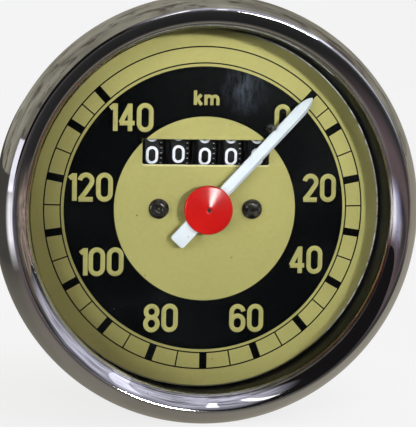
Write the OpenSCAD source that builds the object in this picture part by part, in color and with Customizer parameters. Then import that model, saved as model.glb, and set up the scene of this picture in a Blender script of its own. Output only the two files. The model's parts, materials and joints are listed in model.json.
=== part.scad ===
// Round magnetic speedometer with a five drum distance counter.
// Modules are drawn as the reader sees the dial: x to the right, y up to twelve o'clock, z out of the dial.
// The plane z = 0 is the seat at the back of the bezel, and face_front() turns the dial to face -Y.

// One node, or all of them

/* [Case] */
// Outside diameter of the case
case_d = 80; // [76:1:100]
// Thickness of the case sheet
case_wall = 1; // [0.6:0.1:1.4]
// Radius of the case's back corner
case_corner = 3; // [2:0.5:6]
// Width of the rim that the bezel is crimped over
flange_w = 1.7; // [1.2:0.1:3]
// Thickness of that rim
flange_t = 1; // [0.6:0.1:1.5]

/* [Bezel and glass] */
// Thickness of the bezel's crimped lip
lip_t = 0.8; // [0.5:0.1:1.2]
// Thickness of the bezel's outer wall
bezel_wall = 1; // [0.6:0.1:1.5]
// Distance of the bezel's crest in from its outer edge
crest_inset = 3.6; // [2:0.1:5]
// Radius of the bezel's crest
crest_fillet = 0.7; // [0.3:0.1:1]
// Height of the crest over the glass
crest_rise = 3; // [2:0.1:6]
// Width of the bezel's lip on the glass, inside the dial's edge
opening_inset = 0.4; // [-1:0.1:1]
// Thickness of the glass
lens_t = 2; // [1:0.1:3]
// Thickness of the rubber ring behind the glass
gasket_t = 1; // [0.6:0.1:2]

/* [Dial] */
// Wall of the black ring round the dial
ring_wall = 1.9; // [1:0.1:3]
// Gap between the ring and the edge of the dial
dial_gap = 0.5; // [0.2:0.1:1.5]
// Depth of the dial's face behind the bezel seat
dial_depth = 4.5; // [3.8:0.1:8]
// Thickness of the dial
dial_t = 0.8; // [0.4:0.1:1.5]
// Width of the counter window
window_w = 26.2; // [24:0.1:27]
// Height of the counter window
window_h = 5.15; // [3:0.05:8]
// Height of the window's middle over the pointer's axis
window_y = 11.5; // [10.5:0.1:13.8]
// Distance between the two dial screws
dial_screw_span = 19.3; // [16:0.1:21]
// Diameter of a dial screw's head
dial_screw_head = 4.1; // [3:0.1:5]

/* [Pointer] */
// Reach of the pointer from its axis
pointer_len = 31.2; // [20:0.1:34]
// Reach of the pointer's tail
pointer_tail = 9.3; // [6:0.1:14]
// Width of the blade
blade_w = 2.4; // [1.5:0.1:3.2]
// Width of the tail
tail_w = 3.35; // [2:0.05:5]
// Thickness of the blade
blade_t = 0.8; // [0.5:0.1:1.2]
// Space between the dial and the blade
blade_gap = 2.1; // [1.8:0.1:2.5]
// Diameter of the hub cap
cap_d = 9.9; // [7:0.1:12]
// Height of the hub cap
cap_h = 2; // [1.4:0.1:2.6]
// Angle of the pointer at rest, clockwise from twelve o'clock
rest_angle = 43; // [30:1:60]
// Distance of the stop from the pointer's axis
stop_reach = 21; // [16:0.1:26]
// Diameter of the stop
stop_d = 1.75; // [1.2:0.05:2.4]

/* [Distance counter] */
// Diameter of a number drum
drum_d = 14.6; // [13:0.1:17.6]
// Width of a drum's number face
drum_w = 2.9; // [2.5:0.1:3.1]
// Distance from drum to drum
drum_pitch = 5.45; // [5.2:0.05:6]
// Gap between the dial and the drums
drum_gap = 0.7; // [0.4:0.1:1.5]
// Diameter of the drum shaft
drum_shaft_d = 2; // [1.5:0.1:3]
// Diameter of the shaft that carries the transfer pinions
pinion_shaft_d = 1.2; // [1:0.1:1.6]
// Thickness of the two cheeks
cheek_t = 1; // [0.8:0.1:2]

/* [Movement] */
// Thickness of the bridge
bridge_t = 2; // [1.6:0.1:4]
// Thickness of the deck
deck_t = 2; // [1.5:0.1:4]
// Thickness of the base
base_t = 3; // [2.6:0.1:5]
// Diameter of the magnet
magnet_d = 21; // [16:0.5:25.5]
// Height of the magnet
magnet_h = 5.5; // [4:0.1:8]
// Radial air gap on each side of the speed cup
air_gap = 0.8; // [0.5:0.1:1]
// Wall of the speed cup
cup_wall = 0.6; // [0.4:0.1:1]
// Wall of the flux ring
flux_wall = 1.3; // [0.8:0.1:1.8]
// Diameter of the pointer spindle
pointer_spindle_d = 1.4; // [1:0.1:1.8]
// Diameter of a frame pillar
pillar_d = 5; // [4.6:0.1:5.6]
// Number of turns of the hairspring
spring_turns = 5; // [3:1:5]

/* [Drive] */
// Diameter of the drive spindle in its lower bush
spindle_d = 6; // [5:0.1:7.2]
// Side of the square socket for the flexible shaft
square_w = 2.8; // [2.4:0.1:3.2]
// Outside diameter of the threaded spigot
spigot_d = 18; // [16:0.5:22]
// Length of the spigot behind the case
spigot_len = 14; // [12:0.5:24]
// Diameter of the bore for the cable's ferrule
ferrule_d = 11; // [10:0.1:12]
// Depth of that bore
ferrule_depth = 7.5; // [5:0.1:8]
// Module of the worm gears
gear_module = 0.5; // [0.42:0.01:0.6]
// Teeth of the cross wheel
cross_teeth = 16; // [16]
// Teeth of the counter wheel
counter_teeth = 25; // [25]
// Teeth of the units gear
units_teeth = 25; // [25]

/* [Mounting and lamp] */
// Diameter of a mounting stud
stud_d = 6; // [5:0.5:7]
// Length of a mounting stud behind the case
stud_len = 16; // [10:1:30]
// Distance between the mounting studs
stud_span = 50; // [48:1:56]
// Outside diameter of the lamp holder
lamp_d = 11; // [10:0.5:12]
// Diameter of the bulb
bulb_d = 8; // [6:0.5:9]

/* [Hidden] */
// Clearance of a seated piece and of a running one
fit = 0.02;
running = 0.05;
// Clearance between pieces that must not touch
clear = 0.3;

case_r = case_d / 2;
case_in = case_r - case_wall;
flange_r = case_r + flange_w;
flange_top = lip_t + flange_t;
bezel_r = flange_r + clear + bezel_wall;
lens_z = flange_top + gasket_t;
lens_top = lens_z + lens_t;
lens_r = flange_r - 0.9;
crest_r = bezel_r - crest_inset;
crest_z = lens_top + crest_rise;

ring_out = case_in - 0.1;
ring_in = ring_out - ring_wall;
dial_r = ring_in - dial_gap;
dial_z = -dial_depth;
dial_back = dial_z - dial_t;
opening_r = dial_r - opening_inset;

// Pitch radii of the worm gears
spindle_worm_r = 2;
counter_worm_r = 2;
cross_worm_min = 2.4;
cross_r = gear_module * cross_teeth / 2;
counter_r = gear_module * counter_teeth / 2;
units_r = gear_module * units_teeth / 2;
addendum = 0.9 * gear_module;
dedendum = 1.25 * gear_module;
wheel_w = 1.6;
worm_len = 6.4;

// Levels of the movement, from the dial back to the case's back wall
drum_r = drum_d / 2;
drum_swing = max(drum_r, units_r + addendum);
drum_y = window_y;
drum_z = dial_back - drum_gap - drum_swing;
bridge_top = drum_z - drum_swing - 0.6;
bridge_z = bridge_top - bridge_t;
spring_h = 1;
spring_z = bridge_z - 2;
cup_top = bridge_z - 2.8;
cup_t = 0.6;
magnet_top = cup_top - 2;
magnet_z = magnet_top - magnet_h;
cup_z = magnet_z + 0.5;
deck_top = magnet_z - 2.1;
deck_z = deck_top - deck_t;

magnet_r = magnet_d / 2;
cup_in = magnet_r + air_gap;
cup_r = cup_in + cup_wall;
flux_in = cup_r + air_gap;
flux_r = flux_in + flux_wall;
hub_r = 3.2;
neck_r = 1.9;

// Places of the shafts of the worm gears
cross_x = spindle_worm_r + cross_r;
cross_z = deck_z - cross_r - addendum - 0.5;
base_top = cross_z - cross_r - addendum - 1.05;
base_z = base_top - base_t;
back_z = base_z - case_wall;

// Drums from the units on the right to the ten thousands on the left
drum_x = [for (i = [0:4]) (2 - i) * drum_pitch];
drum_bore = drum_shaft_d / 2 + running;
counter_x = max(
  drum_x[0] + drum_w / 2 + clear + counter_worm_r + addendum,
  cross_x + counter_r + cross_worm_min
);
counter_y = drum_y + units_r + counter_worm_r;
cross_worm_r = counter_x - cross_x - counter_r;
shaft_r = 0.8;

// Carry gearing between two drums, whose pinion shaft runs clear of the drums' faces
carry_ring_teeth = 20;
pinion_teeth = 8;
pinion_c = drum_swing + pinion_shaft_d / 2 + 0.5;
carry_module = 2 * pinion_c / (carry_ring_teeth + pinion_teeth);
carry_ring_w = 1;
carry_disc_w = 0.7;
pinion_w = drum_pitch - drum_w - 0.25;
pinion_tip = carry_module * pinion_teeth / 2 + 0.5;
pinion_rise = min(pinion_c * sin(45), counter_y - drum_y - shaft_r - pinion_shaft_d / 2 - 0.4);
pinion_angle = asin(pinion_rise / pinion_c);
pinion_y = drum_y + pinion_rise;
pinion_z = drum_z - pinion_c * cos(pinion_angle);
carry_disc_r = pinion_c - pinion_tip - 0.3;

left_x = drum_x[4] - drum_w / 2 - 0.5;
right_x = counter_x + counter_worm_r + addendum + clear;
cheek_foot = 5.4;
cheek_screw_y = [drum_y - 5.5, drum_y + 5.5];
tab_z = drum_z + 4;
tab_top = tab_z + 1.2;
bridge_reach = right_x + cheek_t + cheek_foot;

// Places of the posts, pillars and screws
post_r = 2.2;
pillar_x = flux_r + pillar_d / 2 + 1.6;
pillar_y = -5;
pillar_r = pillar_d / 2;
screw_r = 1;
frame_screw_r = 1.4;

blade_z = dial_z + blade_gap;
blade_top = blade_z + blade_t;
boss_r = 1.9;
cap_z = blade_top + 0.05;
cap_r = cap_d / 2;
stop_pin_r = 0.45;
stop_side = blade_w / 2 + stop_pin_r + 0.1;

// Spigot, spindle and bushes
spigot_r = spigot_d / 2;
spigot_end = back_z - spigot_len;
spigot_flange_r = spigot_r + 1.5;
spigot_flange_t = 1.5;
spindle_r = spindle_d / 2;
bush_r = spindle_r + 1.5;
bush_end = spigot_end + ferrule_depth;
bush_top = base_z + spigot_flange_t;
washer_t = 0.5;
collar_z = bush_top + washer_t;
collar_top = collar_z + 1.4;
spindle_end = bush_end + 0.3;
pivot_r = 0.45;

stud_r = stud_d / 2;
stud_flange_r = stud_r + 1.5;
lamp_r = lamp_d / 2;
grommet_wall = 1.2;
lamp_y = -(case_in - lamp_r - grommet_wall - 3.8);
bulb_r = bulb_d / 2;
bulb_base = base_z + 10;

$fn = 96;

// Points on an arc of an ellipse
function arc(c, a, b, from, to, n = 8) =
  [for (i = [0:n]) let (t = from + (to - from) * i / n) [c[0] + a * cos(t), c[1] + b * sin(t)]];

// Point at a radius and an angle
function polar(r, a) = [r * cos(a), r * sin(a)];

// Outline of a straight-sided gear with its first tooth on the x axis
function gear_outline(teeth, m, thick, add, ded) =
  let (
    r = m * teeth / 2,
    lean = tan(18),
    root = (thick / 2 + ded * lean) / (r - ded) * 180 / PI,
    tip = (thick / 2 - add * lean) / (r + add) * 180 / PI
  )
  [
    for (i = [0:teeth - 1], p = [[r - ded, -root], [r + add, -tip], [r + add, tip], [r - ded, root]])
      polar(p[0], p[1] + i * 360 / teeth)
  ];

// Cross section of a single-start worm whose crest is on the x axis
function worm_outline(r) =
  let (
    pitch = PI * gear_module,
    tip = (0.16 * pitch - addendum * tan(18)) / pitch * 360,
    root = (0.16 * pitch + dedendum * tan(18)) / pitch * 360,
    hi = r + addendum,
    lo = r - dedendum
  )
  concat(
    [for (i = [0:2]) polar(hi, -tip + i * tip)],
    [for (i = [1:3]) polar(hi + (lo - hi) * i / 4, tip + (root - tip) * i / 4)],
    [for (i = [0:6]) polar(lo, root + (360 - 2 * root) * i / 6)],
    [for (i = [1:3]) polar(lo + (hi - lo) * i / 4, 360 - root + (root - tip) * i / 4)]
  );

// Band between two turns of a spiral
function spiral_band(r0, r1, turns, t) =
  let (n = turns * 30)
  concat(
    [for (i = [0:n]) polar(r0 + (r1 - r0) * i / n, i * 12)],
    [for (i = [n:-1:0]) polar(r0 + (r1 - r0) * i / n + t, i * 12)]
  );

// Turns the instrument so that its dial faces -Y
module face_front() {
  rotate([90, 0, 0])
    children();
}

// Turns a piece to the pointer's angle at rest
module at_rest() {
  rotate([0, 0, -rest_angle])
    children();
}

module mirror_copy() {
  for (side = [0, 1])
    mirror([side, 0, 0])
      children();
}

module ring(outer, inner, h) {
  difference() {
    cylinder(r = outer, h = h);
    translate([0, 0, -1])
      cylinder(r = inner, h = h + 2);
  }
}

// Plate with round corners, made so that its edges stay true
module plate(x0, x1, y0, y1, h, r) {
  translate([x0 + r, y0, 0])
    cube([x1 - x0 - 2 * r, y1 - y0, h]);
  translate([x0, y0 + r, 0])
    cube([x1 - x0, y1 - y0 - 2 * r, h]);
  for (x = [x0 + r, x1 - r], y = [y0 + r, y1 - r])
    translate([x, y, 0])
      cylinder(r = r, h = h);
}

// Right-hand worm along z, with its crest turned away from the wheel in its middle plane
module worm(r, wheel_angle) {
  turns = worm_len / (PI * gear_module);
  rotate([0, 0, wheel_angle + 180])
    rotate([0, 0, 180 * turns * -1])
      translate([0, 0, -worm_len / 2])
        linear_extrude(height = worm_len, twist = -360 * turns, slices = round(14 * turns), $fn = 16)
          polygon(worm_outline(r));
}

// Wheel for a worm, with one tooth turned to it
module worm_wheel(teeth, to_worm) {
  translate([0, 0, -wheel_w / 2])
    linear_extrude(height = wheel_w)
      rotate([0, 0, to_worm])
        polygon(gear_outline(teeth, gear_module, 1.18 * gear_module, addendum, dedendum));
}

// Cheese-head screw whose head sits on z = 0
module screw(r, len, head_r, head_h) {
  difference() {
    union() {
      cylinder(r = head_r, h = head_h);
      translate([0, 0, -len])
        cylinder(r = r, h = len + 0.1);
    }
    translate([-head_r - 1, -0.3, head_h - 0.6])
      cube([2 * head_r + 2, 0.6, 1]);
  }
}

// Lays a piece drawn along z along x, with its own x axis turned to -z
module along_x(x, y, z) {
  translate([x, y, z])
    rotate([0, 90, 0])
      children();
}

module case() {
  corner = [case_r - case_corner, back_z + case_corner];
  color("#18181a")
    difference() {
      rotate_extrude()
        polygon(concat(
          [[0, back_z]],
          arc(corner, case_corner, case_corner, -90, 0),
          [
            [case_r, 0],
            [case_r - 0.3, lip_t],
            [flange_r, lip_t],
            [flange_r, flange_top],
            [case_in, flange_top]
          ],
          arc(corner, case_corner - case_wall, case_corner - case_wall, 0, -90),
          [[0, base_z]]
        ));
      translate([0, 0, back_z - 1])
        cylinder(r = spigot_r - 0.4 + fit, h = case_wall + 2);
      translate([0, lamp_y, back_z - 1])
        cylinder(r = lamp_r + grommet_wall + fit, h = case_wall + 2);
      mirror_copy() {
        translate([stud_span / 2, 0, back_z - 1])
          cylinder(r = stud_r - 0.4 + fit, h = case_wall + 2);
        translate([pillar_x, pillar_y, back_z - 1])
          cylinder(r = frame_screw_r + 0.1, h = case_wall + 2);
      }
    }
}

// Point on the bezel's leaning outer wall, set in by a thickness
function bezel_side(t, inset) =
  let (top = crest_z - crest_fillet * 0.5, lean = crest_inset - crest_fillet * 0.87)
  [bezel_r - inset - lean * pow(t, 1.8), 1.2 + (top - 1.2) * t];

// Point on the bezel's roll from its crest down to the glass
function bezel_roll(t) =
  let (start = crest_r - crest_fillet * 0.26, edge = lens_top + 0.5, top = crest_z - crest_fillet * 0.03)
  [start + (opening_r - start) * t, edge + (top - edge) * (1 - 0.35 * t - 0.65 * pow(t, 3))];

module bezel() {
  color("#d4d2cc")
    rotate_extrude()
      polygon(concat(
        [[case_r + 0.1, 0], [bezel_r - 0.5, 0]],
        arc([bezel_r - 0.5, 0.5], 0.5, 0.5, -90, 0, 4),
        [for (i = [0:8]) bezel_side(i / 8, 0)],
        arc([crest_r, crest_z - crest_fillet], crest_fillet, crest_fillet, 40, 100, 5),
        [for (i = [0:8]) bezel_roll(i / 8)],
        [
          [opening_r, lens_top],
          [opening_r + 1.4, lens_top],
          [crest_r - 0.6, crest_z - 1.3]
        ],
        [for (i = [7:-1:0]) bezel_side(i / 8, bezel_wall)],
        [[bezel_r - bezel_wall, lip_t], [case_r + 0.1, lip_t]]
      ));
}

module lens() {
  color("#dfe8ea", 0.25)
    translate([0, 0, lens_z])
      cylinder(r = lens_r, h = lens_t);
}

module lens_gasket() {
  color("#1c1c1c")
    translate([0, 0, flange_top])
      ring(lens_r, ring_in + 0.6, gasket_t);
}

module dial_ring() {
  color("#0c0c0d")
    translate([0, 0, dial_back - 1.7])
      ring(ring_out, ring_in, flange_top - dial_back + 1.7);
}

module dial_plate() {
  color("#bab270")
    difference() {
      translate([0, 0, dial_back])
        cylinder(r = dial_r, h = dial_t);
      translate([0, 0, dial_back - 1])
        cylinder(r = 2, h = dial_t + 2);
      mirror_copy()
        translate([dial_screw_span / 2, 0, dial_back - 1])
          cylinder(r = screw_r + 0.1, h = dial_t + 2);
      at_rest()
        translate([-stop_side, stop_reach, dial_back - 1])
          cylinder(r = stop_pin_r + fit, h = dial_t + 2);
      translate([0, window_y, dial_back - 1])
        plate(-window_w / 2, window_w / 2, -window_h / 2, window_h / 2, dial_t + 2, 0.4);
    }
}

module dial_screws() {
  head_r = dial_screw_head / 2;
  color("#1d1c1b")
    mirror_copy()
      translate([dial_screw_span / 2, 0, dial_z]) {
        rotate_extrude()
          polygon(concat(
            [[0, 0], [head_r, 0]],
            arc([0, 0.45], head_r, 0.75, 0, 76, 7),
            [[0.45, 0.7], [0, 0.7]]
          ));
        translate([0, 0, -dial_t - 5])
          cylinder(r = screw_r, h = dial_t + 5.1);
      }
}

module pointer_blade() {
  half = blade_w / 2;
  tail = tail_w / 2;
  color("#f2f1ec")
    difference() {
      at_rest()
        translate([0, 0, blade_z])
          linear_extrude(height = blade_t)
            polygon(concat(
              arc([tail - 0.5, 0.5 - pointer_tail], 0.5, 0.5, -90, 0, 3),
              [[tail, 0], [half, cap_r * 0.8]],
              [for (i = [0:6]) let (t = i / 6) [
                half * sqrt(1 - t * t * 0.94),
                pointer_len - 3 + 3 * t
              ]],
              [for (i = [6:-1:0]) let (t = i / 6) [
                -half * sqrt(1 - t * t * 0.94),
                pointer_len - 3 + 3 * t
              ]],
              [[-half, cap_r * 0.8], [-tail, 0]],
              arc([0.5 - tail, 0.5 - pointer_tail], 0.5, 0.5, 180, 270, 3)
            ));
      translate([0, 0, blade_z - 1])
        cylinder(r = pointer_spindle_d / 2 + fit, h = blade_t + 2);
    }
}

module pointer_cap() {
  color("#c8102a")
    rotate_extrude()
      polygon([
        [0, cap_z + 0.35],
        [1, cap_z + 0.35],
        [1.4, cap_z],
        [cap_r - 0.25, cap_z],
        [cap_r, cap_z + 0.25],
        [cap_r, cap_z + 0.75],
        [cap_r - 0.15, cap_z + 0.9],
        [0.42, cap_z + cap_h],
        [0.36, cap_z + cap_h - 0.5],
        [0, cap_z + cap_h - 0.5]
      ]);
}

module pointer_boss() {
  color("#c9a24d")
    translate([0, 0, dial_z + 0.4])
      ring(boss_r, pointer_spindle_d / 2 + fit, blade_z - dial_z - 0.4);
}

module pointer_stop() {
  color("#101010")
    at_rest()
      translate([-stop_side, stop_reach, 0]) {
        translate([0, 0, dial_back])
          cylinder(r = stop_pin_r, h = blade_top + 0.9 - dial_back);
        translate([0, 0, dial_z])
          cylinder(r = stop_d / 2, h = blade_gap - 0.4);
      }
}

module pointer_spindle() {
  tip = magnet_top - 1.6;
  color("#b9bcc0")
    union() {
      translate([0, 0, tip])
        cylinder(r = pivot_r, h = magnet_top + 0.6 - tip + 0.1);
      translate([0, 0, magnet_top + 0.6])
        cylinder(r = pointer_spindle_d / 2, h = cap_z + 0.2 - magnet_top - 0.6);
    }
}

module hairspring() {
  color("#8a8f96")
    translate([0, 0, spring_z])
      linear_extrude(height = spring_h)
        polygon(spiral_band(pointer_spindle_d / 2 + 0.9, 6, spring_turns, 0.25));
}

module spring_collet() {
  color("#c9a24d")
    translate([0, 0, spring_z - 0.2])
      ring(pointer_spindle_d / 2 + 0.85, pointer_spindle_d / 2 + fit, spring_h + 0.4);
}

module spring_stud() {
  color("#c9a24d")
    translate([6.25 + 0.05 + 0.6, 0, spring_z - 0.3])
      cylinder(r = 0.6, h = bridge_z - spring_z + 0.3);
}

module speed_cup() {
  bore = pointer_spindle_d / 2 + fit;
  color("#c7cacd")
    rotate_extrude()
      polygon([
        [bore, magnet_top + 0.7],
        [bore + 1.5, magnet_top + 0.7],
        [bore + 1.5, cup_top - cup_t],
        [cup_in, cup_top - cup_t],
        [cup_in, cup_z],
        [cup_r, cup_z],
        [cup_r, cup_top - 0.4],
        [cup_r - 0.4, cup_top],
        [bore, cup_top]
      ]);
}

module flux_ring() {
  color("#7b7f84")
    translate([0, 0, deck_top])
      ring(flux_r, flux_in, cup_top - 1.2 - deck_top);
}

module magnet() {
  color("#4b4d50")
    translate([0, 0, magnet_z])
      ring(magnet_r, hub_r + fit, magnet_h);
}

module magnet_hub() {
  color("#c9a24d")
    translate([0, 0, magnet_z - 1])
      difference() {
        union() {
          cylinder(r = hub_r, h = magnet_h + 1);
          cylinder(r = hub_r + 1.6, h = 1);
        }
        translate([0, 0, -1])
          cylinder(r = neck_r + fit, h = magnet_h + 3);
      }
}

module drive_spindle() {
  color("#a9adb2")
    difference() {
      union() {
        translate([0, 0, spindle_end])
          cylinder(r = spindle_r, h = collar_z - spindle_end + 0.1);
        translate([0, 0, collar_z])
          cylinder(r = spindle_r + 1, h = collar_top - collar_z);
        translate([0, 0, collar_top - 0.1])
          cylinder(r = 1.2, h = magnet_top - collar_top);
        translate([0, 0, cross_z])
          worm(spindle_worm_r, 0);
        translate([0, 0, deck_z - 0.7])
          cylinder(r = neck_r, h = magnet_top - deck_z + 0.7);
      }
      translate([-square_w / 2, -square_w / 2, spindle_end - 1])
        cube([square_w, square_w, 8]);
      translate([0, 0, magnet_top - 2])
        cylinder(r = pivot_r + running, h = 3);
    }
}

module upper_bush() {
  color("#b08840")
    translate([0, 0, deck_z])
      ring(neck_r + 1.3, neck_r + running, deck_t);
}

module lower_bush() {
  color("#b08840")
    translate([0, 0, bush_end])
      ring(bush_r, spindle_r + running, bush_top - bush_end);
}

module thrust_washer() {
  color("#6a4a30")
    translate([0, 0, bush_top])
      ring(spindle_r + 1.2, spindle_r + running, washer_t);
}

// Lug for the cross shaft, between two heights on y
module cross_lug(y0, y1) {
  translate([cross_x - 2, y0, base_top - 0.1])
    cube([4, y1 - y0, cross_z - base_top + 0.1]);
  translate([cross_x, y1, cross_z])
    rotate([90, 0, 0])
      cylinder(r = 2, h = y1 - y0);
}

module frame() {
  foot_y = counter_y + worm_len / 2 + 1;
  color("#9a9c9e")
    difference() {
      union() {
        translate([0, 0, base_z]) {
          plate(-pillar_x - 4, pillar_x + 4, -13, 10, base_t, 4);
          plate(cross_x - 4, counter_x + 4, 0, foot_y + 3, base_t, 3);
        }
        mirror_copy()
          translate([pillar_x, pillar_y, base_z])
            cylinder(r = pillar_r, h = bridge_z - base_z);
        translate([0, 0, deck_z])
          plate(-pillar_x, pillar_x, -9, 5, deck_t, 2);
        cross_lug(-5, -2.2);
        cross_lug(9, 12);
        cross_lug(foot_y, foot_y + 2.5);
      }
      translate([0, 0, base_z - 1])
        cylinder(r = spindle_r + 1.6, h = base_t + 2);
      translate([0, 0, base_z - 1])
        cylinder(r = spigot_flange_r + fit, h = spigot_flange_t + 1);
      translate([0, 0, deck_z - 1])
        cylinder(r = neck_r + 1.3 + fit, h = deck_t + 2);
      translate([cross_x, foot_y + 4, cross_z])
        rotate([90, 0, 0])
          cylinder(r = shaft_r + running, h = foot_y + 12);
      translate([counter_x, counter_y, base_z - 1])
        cylinder(r = shaft_r + running, h = base_t + 2);
      mirror_copy() {
        translate([pillar_x, pillar_y, base_z - 1])
          cylinder(r = frame_screw_r + fit, h = 9);
        translate([pillar_x, pillar_y, bridge_z - 6])
          cylinder(r = screw_r + fit, h = 7);
        translate([stud_span / 2, 0, base_z - 1])
          cylinder(r = stud_flange_r + clear, h = base_t + 2);
      }
    }
}

module bridge() {
  ear_top = cheek_screw_y[1] + 3;
  color("#a3a5a7")
    translate([0, 0, bridge_z])
      difference() {
        union() {
          plate(-pillar_x - 3, pillar_x + 3, -8.5, 4, bridge_t, 2.5);
          plate(left_x - cheek_t - cheek_foot, left_x + 0.2, -8.5, ear_top, bridge_t, 2);
          plate(right_x - 0.2, bridge_reach, -8.5, ear_top, bridge_t, 2);
        }
        translate([0, 0, -1])
          cylinder(r = 2.5 + fit, h = bridge_t + 2);
        mirror_copy() {
          translate([pillar_x, pillar_y, -1])
            cylinder(r = screw_r + 0.1, h = bridge_t + 2);
          translate([dial_screw_span / 2, 0, -1])
            cylinder(r = 1.2 + fit, h = bridge_t + 2);
        }
        for (y = cheek_screw_y, x = [left_x - cheek_t - 3, right_x + cheek_t + 3])
          translate([x, y, -1])
            cylinder(r = 0.8 + fit, h = bridge_t + 2);
      }
}

module bridge_screws() {
  color("#b9bcc0")
    mirror_copy()
      translate([pillar_x, pillar_y, bridge_top])
        screw(screw_r, bridge_t + 5, 2, 1.4);
}

module pivot_bush() {
  color("#b08840")
    difference() {
      translate([0, 0, bridge_z])
        union() {
          cylinder(r = 2.5, h = bridge_t + 2);
          translate([0, 0, bridge_t])
            cylinder(r = 3.2, h = 0.8);
        }
      translate([0, 0, bridge_z - 1])
        cylinder(r = pointer_spindle_d / 2 + running, h = bridge_t + 4);
    }
}

module dial_posts() {
  color("#b9bcc0")
    mirror_copy()
      translate([dial_screw_span / 2, 0, 0])
        difference() {
          union() {
            translate([0, 0, bridge_top])
              cylinder(r = post_r, h = dial_back - bridge_top);
            translate([0, 0, bridge_z])
              cylinder(r = 1.2, h = bridge_t + 0.1);
          }
          translate([0, 0, dial_back - 6])
            cylinder(r = screw_r + fit, h = 7);
        }
}

module cross_shaft() {
  end = counter_y + worm_len / 2 + 4;
  color("#a9adb2")
    union() {
      translate([cross_x, end, cross_z])
        rotate([90, 0, 0])
          cylinder(r = shaft_r, h = end + 5.5);
      translate([cross_x, counter_y, cross_z])
        rotate([-90, 0, 0])
          worm(cross_worm_r, 0);
    }
}

module cross_wheel() {
  color("#d8c48a")
    translate([cross_x, 0, cross_z])
      rotate([-90, 0, 0])
        difference() {
          union() {
            worm_wheel(cross_teeth, 180);
            cylinder(r = 1.8, h = 4);
          }
          translate([0, 0, -2])
            cylinder(r = shaft_r + fit, h = 8);
        }
}

module counter_shaft() {
  color("#a9adb2")
    translate([counter_x, counter_y, 0])
      union() {
        translate([0, 0, base_z + 0.3])
          cylinder(r = shaft_r, h = tab_top + 0.3 - base_z - 0.3);
        translate([0, 0, drum_z])
          worm(counter_worm_r, -90);
      }
}

module counter_wheel() {
  color("#d8c48a")
    translate([counter_x, counter_y, cross_z])
      difference() {
        union() {
          worm_wheel(counter_teeth, 180);
          cylinder(r = 1.8, h = 3);
        }
        translate([0, 0, -2])
          cylinder(r = shaft_r + fit, h = 6);
      }
}

// Outline of a cheek seen along x, with points [-z, y] from the bridge's top
function cheek_outline() =
  let (b = -bridge_top, d = -drum_z, p = -pinion_z)
  [
    [b, cheek_screw_y[0] - 3],
    [d - 2, drum_y - 5],
    [d - 3.6, drum_y - 2.4],
    [d - 3.6, drum_y + 2.4],
    [d - 1, pinion_y + 1],
    [p - 1, pinion_y + 2.6],
    [b, cheek_screw_y[1] + 2.6]
  ];

// Cheek with its inner face on x = 0, its foot outwards
module cheek() {
  difference() {
    union() {
      rotate([0, 90, 0])
        linear_extrude(height = cheek_t)
          polygon(cheek_outline());
      translate([0, 0, bridge_top])
        plate(0, cheek_t + cheek_foot - 0.4, cheek_screw_y[0] - 3, cheek_screw_y[1] + 2.6, 0.8, 0.3);
    }
    along_x(-1, drum_y, drum_z)
      cylinder(r = drum_shaft_d / 2 + fit, h = cheek_t + 2);
    along_x(-1, pinion_y, pinion_z)
      cylinder(r = pinion_shaft_d / 2 + fit, h = cheek_t + 2);
    for (y = cheek_screw_y)
      translate([cheek_t + 3, y, bridge_top - 1])
        cylinder(r = 0.8 + 0.1, h = 3);
  }
}

module left_cheek() {
  color("#b4b6b8")
    translate([left_x, 0, 0])
      mirror([1, 0, 0])
        cheek();
}

module right_cheek() {
  color("#b4b6b8")
    difference() {
      union() {
        translate([right_x, 0, 0])
          cheek();
        translate([0, 0, tab_z])
          plate(counter_x - 2.2, right_x + cheek_t, counter_y - 2.2, counter_y + 2.2, 1.2, 0.8);
        translate([right_x, counter_y - 2.2, pinion_z])
          cube([cheek_t, 4.4, tab_top - pinion_z]);
      }
      translate([counter_x, counter_y, tab_z - 1])
        cylinder(r = shaft_r + running, h = 4);
      along_x(right_x - 1, pinion_y, pinion_z)
        cylinder(r = pinion_shaft_d / 2 + fit, h = cheek_t + 2);
    }
}

module cheek_screws() {
  color("#b9bcc0")
    for (y = cheek_screw_y, x = [left_x - cheek_t - 3, right_x + cheek_t + 3])
      translate([x, y, bridge_top + 0.8])
        screw(0.8, bridge_t + 0.6, 1.5, 1);
}

module drum_shaft() {
  reach = right_x - left_x + 2 * cheek_t + 3;
  color("#a9adb2")
    along_x(left_x - cheek_t - 1.5, drum_y, drum_z)
      cylinder(r = drum_shaft_d / 2, h = reach);
}

module drum_shaft_clips() {
  color("#8a8f96")
    for (x = [left_x - cheek_t - 0.6, right_x + cheek_t])
      along_x(x, drum_y, drum_z)
        ring(drum_shaft_d / 2 + 1, drum_shaft_d / 2 + fit, 0.6);
}

module pinion_shaft() {
  reach = right_x - left_x + 2 * cheek_t + 1;
  color("#a9adb2")
    along_x(left_x - cheek_t - 0.5, pinion_y, pinion_z)
      cylinder(r = pinion_shaft_d / 2, h = reach);
}

// Number drum with its carry ring on the right and its carry disc on the left
module drum(i) {
  tooth = carry_module * 1.2;
  color("#2a2b2d")
    along_x(drum_x[i] - drum_w / 2, drum_y, drum_z)
      difference() {
        union() {
          cylinder(r = drum_r, h = drum_w);
          if (i > 0)
            translate([0, 0, drum_w - 0.1])
              linear_extrude(height = carry_ring_w + 0.1)
                rotate([0, 0, pinion_angle + 180 / carry_ring_teeth])
                  polygon(gear_outline(carry_ring_teeth, carry_module, tooth, 0.5, 0.7));
          if (i < 4)
            translate([0, 0, -carry_disc_w]) {
              cylinder(r = carry_disc_r, h = carry_disc_w + 0.1);
              for (a = [pinion_angle + 171, pinion_angle + 189])
                rotate([0, 0, a])
                  translate([carry_disc_r - 0.5, -0.3, 0])
                    cube([1.7, 0.6, carry_disc_w + 0.1]);
            }
        }
        translate([0, 0, -2])
          cylinder(r = drum_bore, h = drum_w + 5);
      }
}

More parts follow.
